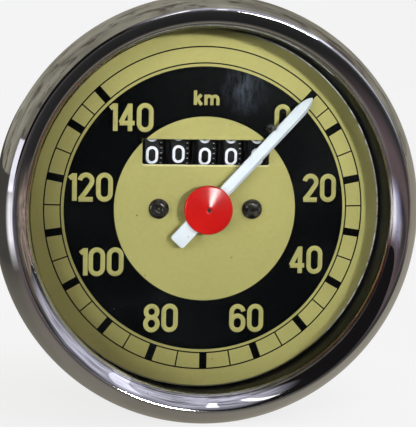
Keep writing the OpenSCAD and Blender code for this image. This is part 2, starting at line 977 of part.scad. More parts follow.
module units_gear() {
  start = drum_x[0] + drum_w / 2;
  color("#d8c48a")
    along_x(start, drum_y, drum_z)
      difference() {
        union() {
          cylinder(r = 2.4, h = right_x - 0.3 - start);
          translate([0, 0, counter_x - start])
            worm_wheel(units_teeth, 90);
        }
        translate([0, 0, -1])
          cylinder(r = drum_bore, h = right_x - start + 2);
      }
}

// Transfer pinion on the right of drum i
module transfer_pinion(i) {
  color("#d8c48a")
    along_x(drum_x[i] + drum_w / 2 + 0.125, pinion_y, pinion_z)
      difference() {
        linear_extrude(height = pinion_w)
          rotate([0, 0, pinion_angle + 180])
            polygon(gear_outline(pinion_teeth, carry_module, carry_module * 1.1, 0.5, 0.7));
        translate([0, 0, -1])
          cylinder(r = pinion_shaft_d / 2 + running, h = pinion_w + 2);
      }
}

module drive_spigot() {
  color("#b9a878")
    difference() {
      union() {
        translate([0, 0, spigot_end])
          cylinder(r = spigot_r, h = spigot_len);
        translate([0, 0, back_z - 0.1])
          cylinder(r = spigot_r - 0.4, h = case_wall + 0.2);
        translate([0, 0, base_z])
          cylinder(r = spigot_flange_r, h = spigot_flange_t);
      }
      translate([0, 0, spigot_end - 1])
        cylinder(r = ferrule_d / 2, h = ferrule_depth + 1);
      translate([0, 0, spigot_end])
        cylinder(r = bush_r + fit, h = spigot_len + case_wall + spigot_flange_t + 1);
    }
}

module mounting_studs() {
  color("#b7babd")
    mirror_copy()
      translate([stud_span / 2, 0, 0]) {
        translate([0, 0, back_z - stud_len])
          cylinder(r = stud_r, h = stud_len);
        translate([0, 0, back_z - 0.1])
          cylinder(r = stud_r - 0.4, h = case_wall + 0.2);
        translate([0, 0, base_z])
          cylinder(r = stud_flange_r, h = 1);
      }
}

module frame_screws() {
  color("#b7babd")
    mirror_copy()
      translate([pillar_x, pillar_y, back_z])
        rotate([180, 0, 0])
          screw(frame_screw_r, case_wall + 6, 2.6, 1.8);
}

module lamp_holder() {
  color("#c2a55a")
    translate([0, lamp_y, 0])
      difference() {
        union() {
          translate([0, 0, back_z - 6])
            cylinder(r = lamp_r, h = bulb_base + 3 - back_z);
          translate([0, 0, back_z - 3.2])
            cylinder(r = lamp_r + 1.8, h = 1.2);
        }
        translate([0, 0, back_z - 4.5])
          cylinder(r = lamp_r - 0.8, h = bulb_base + 8 - back_z);
        translate([0, 0, back_z - 7])
          cylinder(r = 2, h = 4);
      }
}

module lamp_grommet() {
  lip = lamp_r + grommet_wall + 1.2;
  color("#161616")
    translate([0, lamp_y, 0])
      difference() {
        union() {
          translate([0, 0, back_z - 2])
            cylinder(r = lip, h = 2);
          translate([0, 0, back_z - 0.1])
            cylinder(r = lamp_r + grommet_wall, h = case_wall + 0.2);
          translate([0, 0, base_z])
            cylinder(r = lip, h = 1.5);
        }
        translate([0, 0, back_z - 3])
          cylinder(r = lamp_r + fit, h = case_wall + 6);
      }
}

module lamp_bulb() {
  color("#e8e4d4", 0.6)
    translate([0, lamp_y, 0])
      rotate_extrude()
        polygon(concat(
          [[0, bulb_base], [bulb_r - 0.6, bulb_base], [bulb_r - 0.6, bulb_base + 1]],
          arc([0, bulb_base + 6], bulb_r, bulb_r + 1, -20, 90, 10)
        ));
}

module lamp_cap() {
  color("#c9a24d")
    translate([0, lamp_y, 0])
      union() {
        translate([0, 0, back_z + 0.5])
          cylinder(r = lamp_r - 0.8 - running, h = bulb_base - back_z - 0.5);
        translate([0, 0, back_z - 0.2])
          cylinder(r = 1.5, h = 0.8);
      }
}

module lamp_terminal() {
  color("#b7babd")
    translate([0, lamp_y, 0])
      union() {
        translate([0, 0, back_z - 7])
          cylinder(r = 2 - fit, h = 6.7);
        translate([-3.15, -0.4, back_z - 14])
          cube([6.3, 0.8, 7.6]);
      }
}

face_front() case();
face_front() bezel();
face_front() lens();
face_front() lens_gasket();
face_front() dial_ring();
face_front() dial_plate();
face_front() dial_screws();
face_front() pointer_blade();
face_front() pointer_cap();
face_front() pointer_boss();
face_front() pointer_stop();
face_front() pointer_spindle();
face_front() hairspring();
face_front() spring_collet();
face_front() spring_stud();
face_front() speed_cup();
face_front() flux_ring();
face_front() magnet();
face_front() magnet_hub();
face_front() drive_spindle();
face_front() upper_bush();
face_front() lower_bush();
face_front() thrust_washer();
face_front() frame();
face_front() bridge();
face_front() bridge_screws();
face_front() pivot_bush();
face_front() dial_posts();
face_front() cross_shaft();
face_front() cross_wheel();
face_front() counter_shaft();
face_front() counter_wheel();
face_front() left_cheek();
face_front() right_cheek();
face_front() cheek_screws();
face_front() drum_shaft();
face_front() drum_shaft_clips();
face_front() pinion_shaft();
face_front() drum(0);  // drum_units
face_front() drum(1);  // drum_tens
face_front() drum(2);  // drum_hundreds
face_front() drum(3);  // drum_thousands
face_front() drum(4);  // drum_ten_thousands
face_front() units_gear();
face_front() transfer_pinion(1);  // pinion_tens
face_front() transfer_pinion(2);  // pinion_hundreds
face_front() transfer_pinion(3);  // pinion_thousands
face_front() transfer_pinion(4);  // pinion_ten_thousands
face_front() drive_spigot();
face_front() mounting_studs();
face_front() frame_screws();
face_front() lamp_holder();
face_front() lamp_grommet();
face_front() lamp_bulb();
face_front() lamp_cap();
face_front() lamp_terminal();
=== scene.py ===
# %% [markdown]
# # Dressing a vintage speedometer
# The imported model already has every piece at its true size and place. This lesson gives it its looks:
# smooth plated and enamelled skins, a printed dial, numbered drums and worn finishes. The drawings are in
# millimetres as a reader sees the dial: x to the right, y up to twelve o'clock and z out of the dial. One
# matrix turns each finished drawing into the model's own frame, which is in metres.

# %% Load the frame
import json
import math

import bmesh
import bpy
from mathutils import Matrix, Vector


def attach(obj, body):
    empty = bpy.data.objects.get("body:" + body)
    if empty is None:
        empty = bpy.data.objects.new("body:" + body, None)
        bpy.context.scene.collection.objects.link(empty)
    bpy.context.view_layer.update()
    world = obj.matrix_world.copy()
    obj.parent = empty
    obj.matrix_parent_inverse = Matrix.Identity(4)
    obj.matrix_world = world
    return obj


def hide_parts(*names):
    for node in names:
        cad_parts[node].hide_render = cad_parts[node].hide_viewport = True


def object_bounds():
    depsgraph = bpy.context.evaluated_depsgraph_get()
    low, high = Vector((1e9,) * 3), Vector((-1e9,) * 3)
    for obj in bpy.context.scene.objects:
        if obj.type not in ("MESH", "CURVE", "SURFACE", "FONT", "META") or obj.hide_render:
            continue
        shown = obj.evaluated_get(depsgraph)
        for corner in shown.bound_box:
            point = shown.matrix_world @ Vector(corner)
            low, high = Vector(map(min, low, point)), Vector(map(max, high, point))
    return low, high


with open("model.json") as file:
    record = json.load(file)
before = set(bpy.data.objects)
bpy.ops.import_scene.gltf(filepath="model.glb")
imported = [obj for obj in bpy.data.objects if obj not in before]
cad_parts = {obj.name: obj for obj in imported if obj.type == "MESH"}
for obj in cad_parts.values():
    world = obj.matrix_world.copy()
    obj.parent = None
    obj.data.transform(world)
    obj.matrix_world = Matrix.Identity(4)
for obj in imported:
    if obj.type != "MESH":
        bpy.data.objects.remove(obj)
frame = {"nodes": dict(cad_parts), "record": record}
cad_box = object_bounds()
nodes = frame["nodes"]

# %% [markdown]
# ## From a drawing to a piece
# A bmesh is a mesh under construction. `finish_piece` turns the drawing upright, shrinks it to metres,
# stores it as an object at the origin and lets it ride on a body of the model. It could also be placed by
# the object's own turn and scale, but then a pattern on Object coordinates would be turned and scaled
# too. Smooth shading with sharp edges by angle keeps turned faces round and corners crisp, with no need
# for more faces.

# %% Finish a piece
UPRIGHT = Matrix.Rotation(math.radians(90), 4, "X")
STAND = UPRIGHT @ Matrix.Scale(0.001, 4)
made = {}


def finish_piece(name, bm, material, body, sharp, stands_for=()):
    bmesh.ops.recalc_face_normals(bm, faces=bm.faces)
    bmesh.ops.transform(bm, matrix=STAND, verts=bm.verts)
    mesh = bpy.data.meshes.new(name)
    bm.to_mesh(mesh)
    bm.free()
    mesh.shade_smooth()
    mesh.set_sharp_from_angle(angle=math.radians(sharp))
    piece = bpy.data.objects.new(name, mesh)
    bpy.context.scene.collection.objects.link(piece)
    mesh.materials.append(material)
    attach(piece, body)
    if stands_for:
        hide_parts(*stands_for)
    made[name] = len(mesh.polygons)
    return piece


print("twelve o'clock on the bezel, in metres:", [round(v, 3) for v in STAND @ Vector((0, 43, 0))])

# %% [markdown]
# ## Turning
# Most of an instrument is turned on a lathe, and `turn` works like one. It draws half a section as a
# closed chain of edges, rounds the corners that `rounds` names with a vertex bevel, and spins the section
# once round the axis. A full spin needs `use_merge`, so that its end closes on its start.

# %% Turning helpers
def chain(bm, points, closed):
    verts = [bm.verts.new(p) for p in points]
    edges = [bm.edges.new(pair) for pair in zip(verts, verts[1:])]
    if closed:
        edges.append(bm.edges.new((verts[-1], verts[0])))
    return verts, edges


def add_to(bm, work):
    mesh = bpy.data.meshes.new("part")
    work.to_mesh(mesh)
    work.free()
    bm.from_mesh(mesh)
    bpy.data.meshes.remove(mesh)
    return bm


def turn(profile, steps, rounds=(), bm=None, at=(0, 0)):
    work = bmesh.new()
    verts, _ = chain(work, [(r, 0, z) for r, z in profile], True)
    for index, radius in rounds:
        bmesh.ops.bevel(work, geom=[verts[index]], offset=radius, offset_type="OFFSET",
                        affect="VERTICES", segments=4, profile=0.5, material=-1)
    bmesh.ops.spin(work, geom=work.verts[:] + work.edges[:], cent=(0, 0, 0), axis=(0, 0, 1),
                   angle=math.tau, steps=steps, use_merge=True)
    bmesh.ops.remove_doubles(work, verts=work.verts, dist=1e-4)
    bmesh.ops.recalc_face_normals(work, faces=work.faces)
    bmesh.ops.translate(work, verts=work.verts, vec=(*at, 0))
    return work if bm is None else add_to(bm, work)


def arc(cx, cy, rx, ry, start, end, count):
    angles = [math.radians(start + (end - start) * i / count) for i in range(count + 1)]
    return [(cx + rx * math.cos(a), cy + ry * math.sin(a)) for a in angles]


print("points on a quarter arc:", len(arc(0, 0, 1, 1, 0, 90, 8)))

# %% [markdown]
# ## Nodes for finishes
# A finish is a Principled shader whose colour, roughness and bump come from noise on Object coordinates.
# The pieces are in metres, so a noise scale of 1000 gives grains of about a millimetre. Small helpers
# make one node each and return its output, so a finish reads like a sentence. Image textures could do the
# same, but a node pattern stays sharp at any distance and needs no file.

# %% Pattern helpers
def fresh(name):
    material = bpy.data.materials.new(name)
    material.use_nodes = True
    tree = material.node_tree
    shader = tree.nodes["Principled BSDF"]
    coords = tree.nodes.new("ShaderNodeTexCoord").outputs["Object"]
    return material, tree, shader, coords


def moved(tree, coords, place=(0, 0, 0), scale=(1, 1, 1), kind="POINT"):
    node = tree.nodes.new("ShaderNodeMapping")
    node.vector_type = kind
    node.inputs["Location"].default_value = place
    node.inputs["Scale"].default_value = scale
    tree.links.new(coords, node.inputs["Vector"])
    return node.outputs["Vector"]


def noise(tree, coords, scale, detail=4.0, rough=0.55):
    node = tree.nodes.new("ShaderNodeTexNoise")
    node.inputs["Scale"].default_value = scale
    node.inputs["Detail"].default_value = detail
    node.inputs["Roughness"].default_value = rough
    tree.links.new(coords, node.inputs["Vector"])
    return node.outputs["Fac"]


def remap(tree, value, low, high, to_low=0.0, to_high=1.0):
    node = tree.nodes.new("ShaderNodeMapRange")
    limits = {"From Min": low, "From Max": high, "To Min": to_low, "To Max": to_high}
    for key, number in limits.items():
        node.inputs[key].default_value = number
    tree.links.new(value, node.inputs["Value"])
    return node.outputs["Result"]


def dot_with(tree, coords, direction):
    node = tree.nodes.new("ShaderNodeVectorMath")
    node.operation = "DOT_PRODUCT"
    node.inputs[1].default_value = direction
    tree.links.new(coords, node.inputs[0])
    return node.outputs["Value"]


print("pattern helpers ready")

# %% [markdown]
# Patterns are joined with a little arithmetic and with colour blends. `scattered` makes small round spots
# and lets them appear only where a slower noise is high, because wear comes in patches and never evenly.

# %% Joining helpers
def reckon(tree, how, a, b):
    node = tree.nodes.new("ShaderNodeMath")
    node.operation = how
    for socket, value in zip(node.inputs, (a, b)):
        if isinstance(value, float):
            socket.default_value = value
        else:
            tree.links.new(value, socket)
    return node.outputs["Value"]


def times(tree, a, b):
    return reckon(tree, "MULTIPLY", a, b)


def plus(tree, a, b):
    return reckon(tree, "ADD", a, b)


def blend_colours(tree, factor, a, b, mode="MIX"):
    node = tree.nodes.new("ShaderNodeMix")
    node.data_type = "RGBA"
    node.blend_type = mode
    tree.links.new(factor, node.inputs["Factor"])
    for socket, colour in ((node.inputs["A"], a), (node.inputs["B"], b)):
        if isinstance(colour, tuple):
            socket.default_value = (*colour, 1.0)
        else:
            tree.links.new(colour, socket)
    return node.outputs["Result"]


def spots(tree, coords, scale, size):
    node = tree.nodes.new("ShaderNodeTexVoronoi")
    node.inputs["Scale"].default_value = scale
    tree.links.new(coords, node.inputs["Vector"])
    return remap(tree, node.outputs["Distance"], size, size * 0.4)


def scattered(tree, coords, scale, size, zone, low, high, detail=4.0, most=1.0):
    inside = remap(tree, noise(tree, coords, zone, detail), low, high, 0.0, most)
    return times(tree, spots(tree, coords, scale, size), inside)


print("joining helpers ready")

# %% [markdown]
# ## One general finish
# Each real surface mixes a broad, faint stain with a fine grain, which is what keeps it from looking like
# a plain stand-in. `finish` takes two colours, the scales of stain and grain and a range of roughness.
# Turned metal gets a grain that is long round the axis, which a Mapping node makes by squeezing the noise
# along one axis.

# %% General finish
GRAIN_DEPTH = 0.00004


def paint_on(tree, shader, colour, roughness):
    tree.links.new(colour, shader.inputs["Base Color"])
    tree.links.new(roughness, shader.inputs["Roughness"])


def bumped(tree, shader, height, strength, depth):
    node = tree.nodes.new("ShaderNodeBump")
    node.inputs["Strength"].default_value = strength
    node.inputs["Distance"].default_value = depth
    tree.links.new(height, node.inputs["Height"])
    tree.links.new(node.outputs["Normal"], shader.inputs["Normal"])


def finish(name, dark, light, stain, grain, rough, metal=0.0, bump=0.15, stretch=(1, 1, 1), shine=0.5,
           specks=None):
    material, tree, shader, coords = fresh(name)
    lines = moved(tree, coords, scale=stretch)
    broad = remap(tree, noise(tree, coords, stain), 0.3, 0.7)
    fine = noise(tree, lines, grain, 6.0)
    colour = blend_colours(tree, remap(tree, plus(tree, broad, fine), 0.55, 1.45), dark, light)
    if specks:
        scale, size, speck_colour = specks
        colour = blend_colours(tree, spots(tree, coords, scale, size), colour, speck_colour)
    paint_on(tree, shader, colour, remap(tree, noise(tree, lines, grain * 0.4), 0.3, 0.7, *rough))
    shader.inputs["Metallic"].default_value = metal
    shader.inputs["Specular IOR Level"].default_value = shine
    bumped(tree, shader, fine, bump, GRAIN_DEPTH)
    return material


print("general finish ready")

# %% [markdown]
# ## Metals, rubber and plastics
# Most pieces of the movement take one of a few shop finishes. They are kept by the name of the material
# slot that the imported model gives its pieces, so dressing a piece later is one look-up.

# %% Shop finishes
shop = {
    "seal_rubber": finish("Seal rubber", (0.008, 0.008, 0.008), (0.022, 0.021, 0.02), 150, 2600,
                          (0.6, 0.85), bump=0.4),
    "black_steel": finish("Blackened steel", (0.012, 0.01, 0.008), (0.045, 0.038, 0.03), 600, 3500,
                          (0.22, 0.45), metal=0.6, bump=0.35),
    "brass": finish("Turned brass", (0.42, 0.27, 0.07), (0.62, 0.43, 0.14), 120, 1800,
                    (0.2, 0.38), metal=1.0, stretch=(1, 9, 1)),
    "bronze": finish("Bearing bronze", (0.3, 0.16, 0.05), (0.46, 0.27, 0.1), 160, 1800,
                     (0.3, 0.5), metal=1.0, stretch=(1, 9, 1)),
    "steel": finish("Ground steel", (0.36, 0.36, 0.37), (0.56, 0.56, 0.57), 200, 2200,
                    (0.18, 0.34), metal=1.0, stretch=(6, 1, 6)),
    "spring_steel": finish("Blued spring steel", (0.05, 0.07, 0.16), (0.16, 0.18, 0.3), 300, 2500,
                           (0.2, 0.35), metal=1.0),
    "aluminium": finish("Bare aluminium", (0.5, 0.5, 0.51), (0.68, 0.68, 0.69), 90, 1500,
                        (0.35, 0.55), metal=1.0, bump=0.3),
    "soft_iron": finish("Plated soft iron", (0.12, 0.12, 0.13), (0.26, 0.26, 0.27), 120, 1400,
                        (0.4, 0.6), metal=1.0, bump=0.3),
    "plated_sheet": finish("Zinc plated sheet", (0.36, 0.36, 0.34), (0.55, 0.55, 0.52), 140, 1600,
                           (0.3, 0.5), metal=1.0),
    "fibre": finish("Vulcanised fibre", (0.12, 0.05, 0.025), (0.24, 0.11, 0.055), 260, 3000,
                    (0.55, 0.75)),
    "gear_plastic": finish("Moulded gear plastic", (0.42, 0.34, 0.2), (0.6, 0.52, 0.34), 200, 2200,
                           (0.35, 0.5)),
    "drum_black": finish("Number drum", (0.003, 0.0032, 0.0036), (0.012, 0.0125, 0.014), 420, 2600,
                         (0.4, 0.55), bump=0.3, shine=0.15),
}
print("shop finishes:", len(shop))

# %% [markdown]
# ## Chrome plate
# Chrome reflects only a little over half of the light, so its look comes from what stands round it. The
# wear is small: pits that break the plate, a haze that dulls it in patches and hair scratches along the
# rim. They change roughness far more than colour.

# %% Chrome
def chrome_finish():
    material, tree, shader, coords = fresh("Chrome plate")
    haze = remap(tree, noise(tree, coords, 70, 5.0), 0.42, 0.75)
    pits = scattered(tree, coords, 700, 0.1, 45, 0.56, 0.64, detail=3.0)
    hair = remap(tree, noise(tree, moved(tree, coords, scale=(1, 14, 1)), 900, 2.0), 0.6, 0.72)
    tint = blend_colours(tree, haze, (0.58, 0.575, 0.585), (0.5, 0.485, 0.47))
    dull = plus(tree, remap(tree, haze, 0.0, 1.0, 0.03, 0.1), times(tree, hair, 0.05))
    paint_on(tree, shader, blend_colours(tree, pits, tint, (0.09, 0.065, 0.045)),
             plus(tree, dull, times(tree, pits, 0.4)))
    shader.inputs["Metallic"].default_value = 1.0
    bumped(tree, shader, times(tree, pits, -1.0), 0.3, 0.00006)
    return material


chrome = chrome_finish()
print("chrome nodes:", len(chrome.node_tree.nodes))

# %% [markdown]
# ## Bezel
# The real bezel is one spun ring: a leaning side, a tight crest and a roll that comes down on the glass.
# It could be bent from a torus, but spinning a profile makes it in one step. The profile follows the same
# two rules as the solid it stands for, with more points, so that the chrome reflects without facets.

# %% Bezel
BEZEL_R, SIDE_FOOT, SIDE_LEAN, SIDE_RISE = 43.0, 1.2, 2.991, 6.25
ROLL_R, ROLL_REACH, ROLL_END, ROLL_DROP = 39.218, 3.118, 5.3, 2.479
REAR_LIP_R = 40.1


def bezel_side(t, inset):
    return (BEZEL_R - inset - SIDE_LEAN * t ** 1.8, SIDE_FOOT + SIDE_RISE * t)


def bezel_roll(t):
    return (ROLL_R - ROLL_REACH * t, ROLL_END + ROLL_DROP * (1 - 0.35 * t - 0.65 * t ** 3))


profile = [(REAR_LIP_R, 0.0), (42.5, 0.0)] + arc(42.5, 0.5, 0.5, 0.5, -70, 0, 5)
profile += [bezel_side(i / 16, 0.0) for i in range(17)]
profile += arc(39.4, 7.1, 0.7, 0.7, 40, 96, 8)
profile += [bezel_roll(i / 20) for i in range(1, 21)]
profile += [(36.14, 5.02), (36.28, 4.84), (37.5, 4.84), (38.8, 6.5)]
profile += [bezel_side(i / 8, 1.0) for i in range(7, -1, -1)] + [(42.0, 0.8), (REAR_LIP_R, 0.8)]
bezel = finish_piece("bezel_shell", turn(profile, 256), chrome, "housing", 50, ["bezel"])
print("bezel faces:", made["bezel_shell"])

# %% [markdown]
# ## Case
# The case is a drawn steel cup under black stoving enamel. Enamel pools and ripples a little before it
# sets, which shows as a slow waviness in its gloss, and it chips to grey metal in small spots.

# %% Black enamel
def enamel_finish():
    material, tree, shader, coords = fresh("Black enamel")
    ripple = noise(tree, coords, 260, 2.0)
    dust = remap(tree, noise(tree, coords, 55, 5.0), 0.45, 0.8)
    chips = scattered(tree, coords, 210, 0.14, 30, 0.55, 0.62)
    colour = blend_colours(tree, dust, (0.011, 0.011, 0.012), (0.028, 0.027, 0.026))
    dull = remap(tree, dust, 0.0, 1.0, 0.16, 0.42)
    paint_on(tree, shader, blend_colours(tree, chips, colour, (0.2, 0.17, 0.15)),
             plus(tree, dull, times(tree, chips, 0.3)))
    bumped(tree, shader, plus(tree, ripple, times(tree, chips, -1.5)), 0.12, 0.0002)
    return material


enamel = enamel_finish()
print("enamel nodes:", len(enamel.node_tree.nodes))

# %% [markdown]
# The cup is spun from one profile: floor, wall, the flange that the bezel closes on, and the inside
# again. A solid cylinder could be hollowed instead, but a profile shows the thickness of the sheet at a
# glance. The two corners at the floor are rounded most, as they are on a drawn cup.

# %% Case
CASE_R, CASE_BACK, CASE_INSIDE = 40, -52.05, -51.05
FLANGE_R, SPIGOT_HOLE_R = 41.7, 8.64
profile = [(SPIGOT_HOLE_R, CASE_BACK), (36.9, CASE_BACK), (CASE_R, CASE_BACK), (CASE_R, 0), (39.7, 0.8),
           (FLANGE_R, 0.8), (FLANGE_R, 1.8), (39, 1.8), (39, CASE_INSIDE), (SPIGOT_HOLE_R, CASE_INSIDE)]
rounds = [(2, 3.0), (8, 2.0), (5, 0.15), (6, 0.15)]
case = finish_piece("case_shell", turn(profile, 192, rounds), enamel, "housing", 30, ["case"])
print("case faces:", made["case_shell"])

# %% [markdown]
# ## Glass
# Glass that only refracts would keep lamp light off the dial, because a shadow ray can't bend. A Light
# Path node lets those rays straight through, and all other rays see true glass. A trace of dust roughens
# it in patches.

# %% Glass
def glass_finish(name, tint, rough, bend):
    material, tree, shader, coords = fresh(name)
    shader.inputs["Base Color"].default_value = (*tint, 1.0)
    shader.inputs["Transmission Weight"].default_value = 1.0
    shader.inputs["IOR"].default_value = bend
    dust = remap(tree, noise(tree, coords, 160, 5.0), 0.55, 0.8, 0.0, rough)
    tree.links.new(dust, shader.inputs["Roughness"])
    clear = tree.nodes.new("ShaderNodeBsdfTransparent")
    clear.inputs["Color"].default_value = (*tint, 1.0)
    path = tree.nodes.new("ShaderNodeLightPath")
    mix = tree.nodes.new("ShaderNodeMixShader")
    tree.links.new(path.outputs["Is Shadow Ray"], mix.inputs["Fac"])
    tree.links.new(shader.outputs["BSDF"], mix.inputs[1])
    tree.links.new(clear.outputs["BSDF"], mix.inputs[2])
    tree.links.new(mix.outputs["Shader"], tree.nodes["Material Output"].inputs["Surface"])
    return material


LENS_R, LENS_BACK, LENS_FRONT = 40.8, 2.8, 4.8
glass = glass_finish("Instrument glass", (0.985, 0.99, 0.985), 0.02, 1.16)
shop["bulb_glass"] = glass_finish("Bulb glass", (0.96, 0.95, 0.92), 0.08, 1.45)
profile = [(0, LENS_BACK), (LENS_R, LENS_BACK), (LENS_R, LENS_FRONT), (0, LENS_FRONT)]
lens = finish_piece("lens_disc", turn(profile, 160, [(1, 0.2), (2, 0.2)]), glass, "housing", 8, ["lens"])
print("lens faces:", made["lens_disc"])

# %% [markdown]
# ## Ring round the dial
# Between the dial and the glass stands a black ring. Its paint is satin, so it holds a faint reflection
# of the gold dial, and the front edge is rounded, which gives the thin light line that shows where the
# ring ends.

# %% Dial ring
satin = finish("Satin black paint", (0.003, 0.003, 0.0029), (0.007, 0.0069, 0.0064), 90, 1400,
               (0.3, 0.36), bump=0.0, shine=0.06)
profile = [(37.0, -7.0), (38.9, -7.0), (38.9, 1.8), (37.0, 1.8)]
ring = finish_piece("dial_ring_wall", turn(profile, 192, [(3, 0.5), (0, 0.2)]), satin, "housing", 40,
                    ["dial_ring"])
print("ring faces:", made["dial_ring_wall"])

# %% [markdown]
# ## Dial paint
# The plate is sprayed a pale champagne gold. The paint holds a fine metallic grain, a slow change of tone
# across the plate and a few dark specks of age. Towards its edge, most of all at the lower left, a brown
# painted shade darkens the plate where the bezel shades it: the distance from the middle and a dot
# product with one direction say how much. The plate keeps the imported model's own shape, and only its
# finish is new.

# %% Gold paint
def gold_finish(name, painted_shade=0.0):
    material, tree, shader, coords = fresh(name)
    broad = remap(tree, noise(tree, coords, 38, 3.0), 0.3, 0.7)
    grain = noise(tree, coords, 3600, 2.0, 0.7)
    mottle = remap(tree, noise(tree, coords, 1300, 3.0, 0.6), 0.3, 0.7)
    fine = plus(tree, times(tree, mottle, 0.4), times(tree, remap(tree, grain, 0.3, 0.7), 0.3))
    mixed = plus(tree, times(tree, broad, 0.3), fine)
    colour = blend_colours(tree, mixed, (0.3, 0.281, 0.094), (0.36, 0.34, 0.124))
    # Painted shade: a brown layer that stands in for the bezel's shadow on the plate's edge, most at the
    # lower left
    if painted_shade:
        reach = tree.nodes.new("ShaderNodeVectorMath")
        reach.operation = "LENGTH"
        tree.links.new(coords, reach.inputs[0])
        edge = plus(tree, times(tree, reach.outputs["Value"], 0.62),
                    dot_with(tree, coords, (-0.34, 0.0, -0.17)))
        brown = remap(tree, edge, 0.0205, 0.033, 0.0, painted_shade)
        colour = blend_colours(tree, brown, colour, (0.1, 0.085, 0.025))
    age = scattered(tree, coords, 260, 0.07, 60, 0.56, 0.6)
    paint_on(tree, shader, blend_colours(tree, age, colour, (0.16, 0.12, 0.05)),
             remap(tree, grain, 0.3, 0.7, 0.36, 0.44))
    shader.inputs["Metallic"].default_value = 0.45
    shader.inputs["Specular IOR Level"].default_value = 0.1
    bumped(tree, shader, grain, 0.12, 0.00003)
    return material


# 0.7 is how far the painted shade at the plate's edge goes; the figures get none
gold = gold_finish("Champagne gold paint", 0.7)
figure_gold = gold_finish("Gold paint of the figures")

# %% [markdown]
# ## Printed black
# The print is a thin layer of ink on the gold: a broad ring, two fine lines and the strokes of the scale.
# The ink is nearly dead black, with a little dust, and one place at the upper right where a painted glare
# makes the print look greyish: the key lamp's haze, scattered by dirt on the glass. A spherical gradient,
# moved and sized by a Mapping node, says where that place is.

# %% Printing ink
GLARE_AT, GLARE_SIZE = (0.0078, 0.0045, 0.0245), (0.0055, 0.006, 0.006)


def ink_finish():
    material, tree, shader, coords = fresh("Printing ink")
    haze = remap(tree, noise(tree, coords, 80, 6.0), 0.5, 0.8)
    dust = scattered(tree, coords, 330, 0.05, 50, 0.58, 0.62, most=0.6)
    glare_streaks = noise(tree, moved(tree, coords, scale=(900, 300, 260)), 1.0, 5.0, 0.7)
    patch = tree.nodes.new("ShaderNodeTexGradient")
    patch.gradient_type = "SPHERICAL"
    tree.links.new(moved(tree, coords, GLARE_AT, GLARE_SIZE, "TEXTURE"), patch.inputs["Vector"])
    # Painted glare: the key lamp's haze, laid into the ink's colour at the upper right
    painted_glare = times(tree, times(tree, patch.outputs["Fac"], remap(tree, glare_streaks, 0.4, 0.7)), 0.6)
    colour = blend_colours(tree, haze, (0.0016, 0.002, 0.0022), (0.0045, 0.0052, 0.0058))
    colour = blend_colours(tree, painted_glare, colour, (0.12, 0.15, 0.19))
    paint_on(tree, shader, blend_colours(tree, dust, colour, (0.2, 0.2, 0.19)),
             remap(tree, haze, 0.0, 1.0, 0.13, 0.2))
    shader.inputs["Specular IOR Level"].default_value = 0.03
    bumped(tree, shader, noise(tree, coords, 2500, 3.0), 0.08, 0.00003)
    return material


ink = ink_finish()
print("ink nodes:", len(ink.node_tree.nodes))

# %% [markdown]
# Each part of the print is a real, very thin piece, so it stays sharp at any distance; a pattern in the
# paint would need very fine nodes for the same edge. The broad ring is cut where the counter's window
# reaches into it: three planes cut its faces along the window's sides, and the faces inside are deleted.

# %% Broad ring
FACE, INK = -4.5, 0.025
WINDOW_HALF_X, WINDOW_HALF_Y, WINDOW_Y = 13.1, 2.575, 11.5
WINDOW_TOP = WINDOW_Y + WINDOW_HALF_Y


def flat_ring(inner, outer, bm=None):
    top = FACE + INK
    return turn([(inner, FACE), (outer, FACE), (outer, top), (inner, top)], 192, bm=bm)


broad_ring = flat_ring(18.74, 28.87)
for normal, reach in (((1, 0, 0), WINDOW_HALF_X), ((-1, 0, 0), WINDOW_HALF_X), ((0, 1, 0), WINDOW_TOP)):
    everything = broad_ring.verts[:] + broad_ring.edges[:] + broad_ring.faces[:]
    bmesh.ops.bisect_plane(broad_ring, geom=everything, plane_co=Vector(normal) * reach, plane_no=normal)
centres = {face: face.calc_center_median() for face in broad_ring.faces}
inside = [f for f, c in centres.items() if abs(c.x) < WINDOW_HALF_X and 0 < c.y < WINDOW_TOP]
bmesh.ops.delete(broad_ring, geom=inside, context="FACES")
bmesh.ops.holes_fill(broad_ring, edges=[e for e in broad_ring.edges if e.is_boundary], sides=0)
finish_piece("print_broad_ring", broad_ring, ink, "housing", 30)
print("faces cut for the window:", len(inside))

# %% [markdown]
# ## Scale
# The scale runs from 0 at 43 degrees clockwise of twelve o'clock to 140 at 317 degrees, with a broad
# stroke at each ten and a fine one at each five, between two fine circles. The steps are even except the
# first and the last, which are a little wider. One thin box per stroke, turned about the dial's axis, is
# enough.

# %% Scale strokes
ZERO_AT, FULL_AT, DEGREES_PER_UNIT = 43.0, 317.0, 2.03
BROAD_STROKE, FINE_STROKE = 1.55, 0.28


def scale_angle(speed):
    ends = {0: ZERO_AT, 140: FULL_AT}
    if speed in (5, 135):
        near, far = (0, 10) if speed == 5 else (140, 130)
        return (scale_angle(near) + scale_angle(far)) / 2
    return ends.get(speed, 180.0 + (speed - 70) * DEGREES_PER_UNIT)


def stroke_box(bm, width, inner, outer, angle):
    box = bmesh.ops.create_cube(bm, size=1.0)["verts"]
    bmesh.ops.scale(bm, verts=box, vec=(width, outer - inner, INK))
    bmesh.ops.translate(bm, verts=box, vec=(0, (inner + outer) / 2, FACE + INK / 2))
    turned = Matrix.Rotation(math.radians(-angle), 3, "Z")
    bmesh.ops.rotate(bm, verts=box, cent=(0, 0, 0), matrix=turned)


scale = bmesh.new()
for inner in (29.40, 32.70):
    flat_ring(inner, inner + FINE_STROKE, scale)
for speed in range(0, 141, 5):
    width = FINE_STROKE if speed % 10 else BROAD_STROKE
    stroke_box(scale, width, 29.5, 32.85, scale_angle(speed))
finish_piece("print_scale", scale, ink, "housing", 30)
print("scale faces:", made["print_scale"])

# %% [markdown]
# ## Figures
# The numerals are plain drawing-office figures of one stroke width. A text object would need a font of
# that kind, so each figure is drawn as centre lines and arcs instead: w is half its width, h is half its
# height, and each line says whether it closes on itself.

# %% Centre lines of the figures
OPEN, CLOSED = False, True


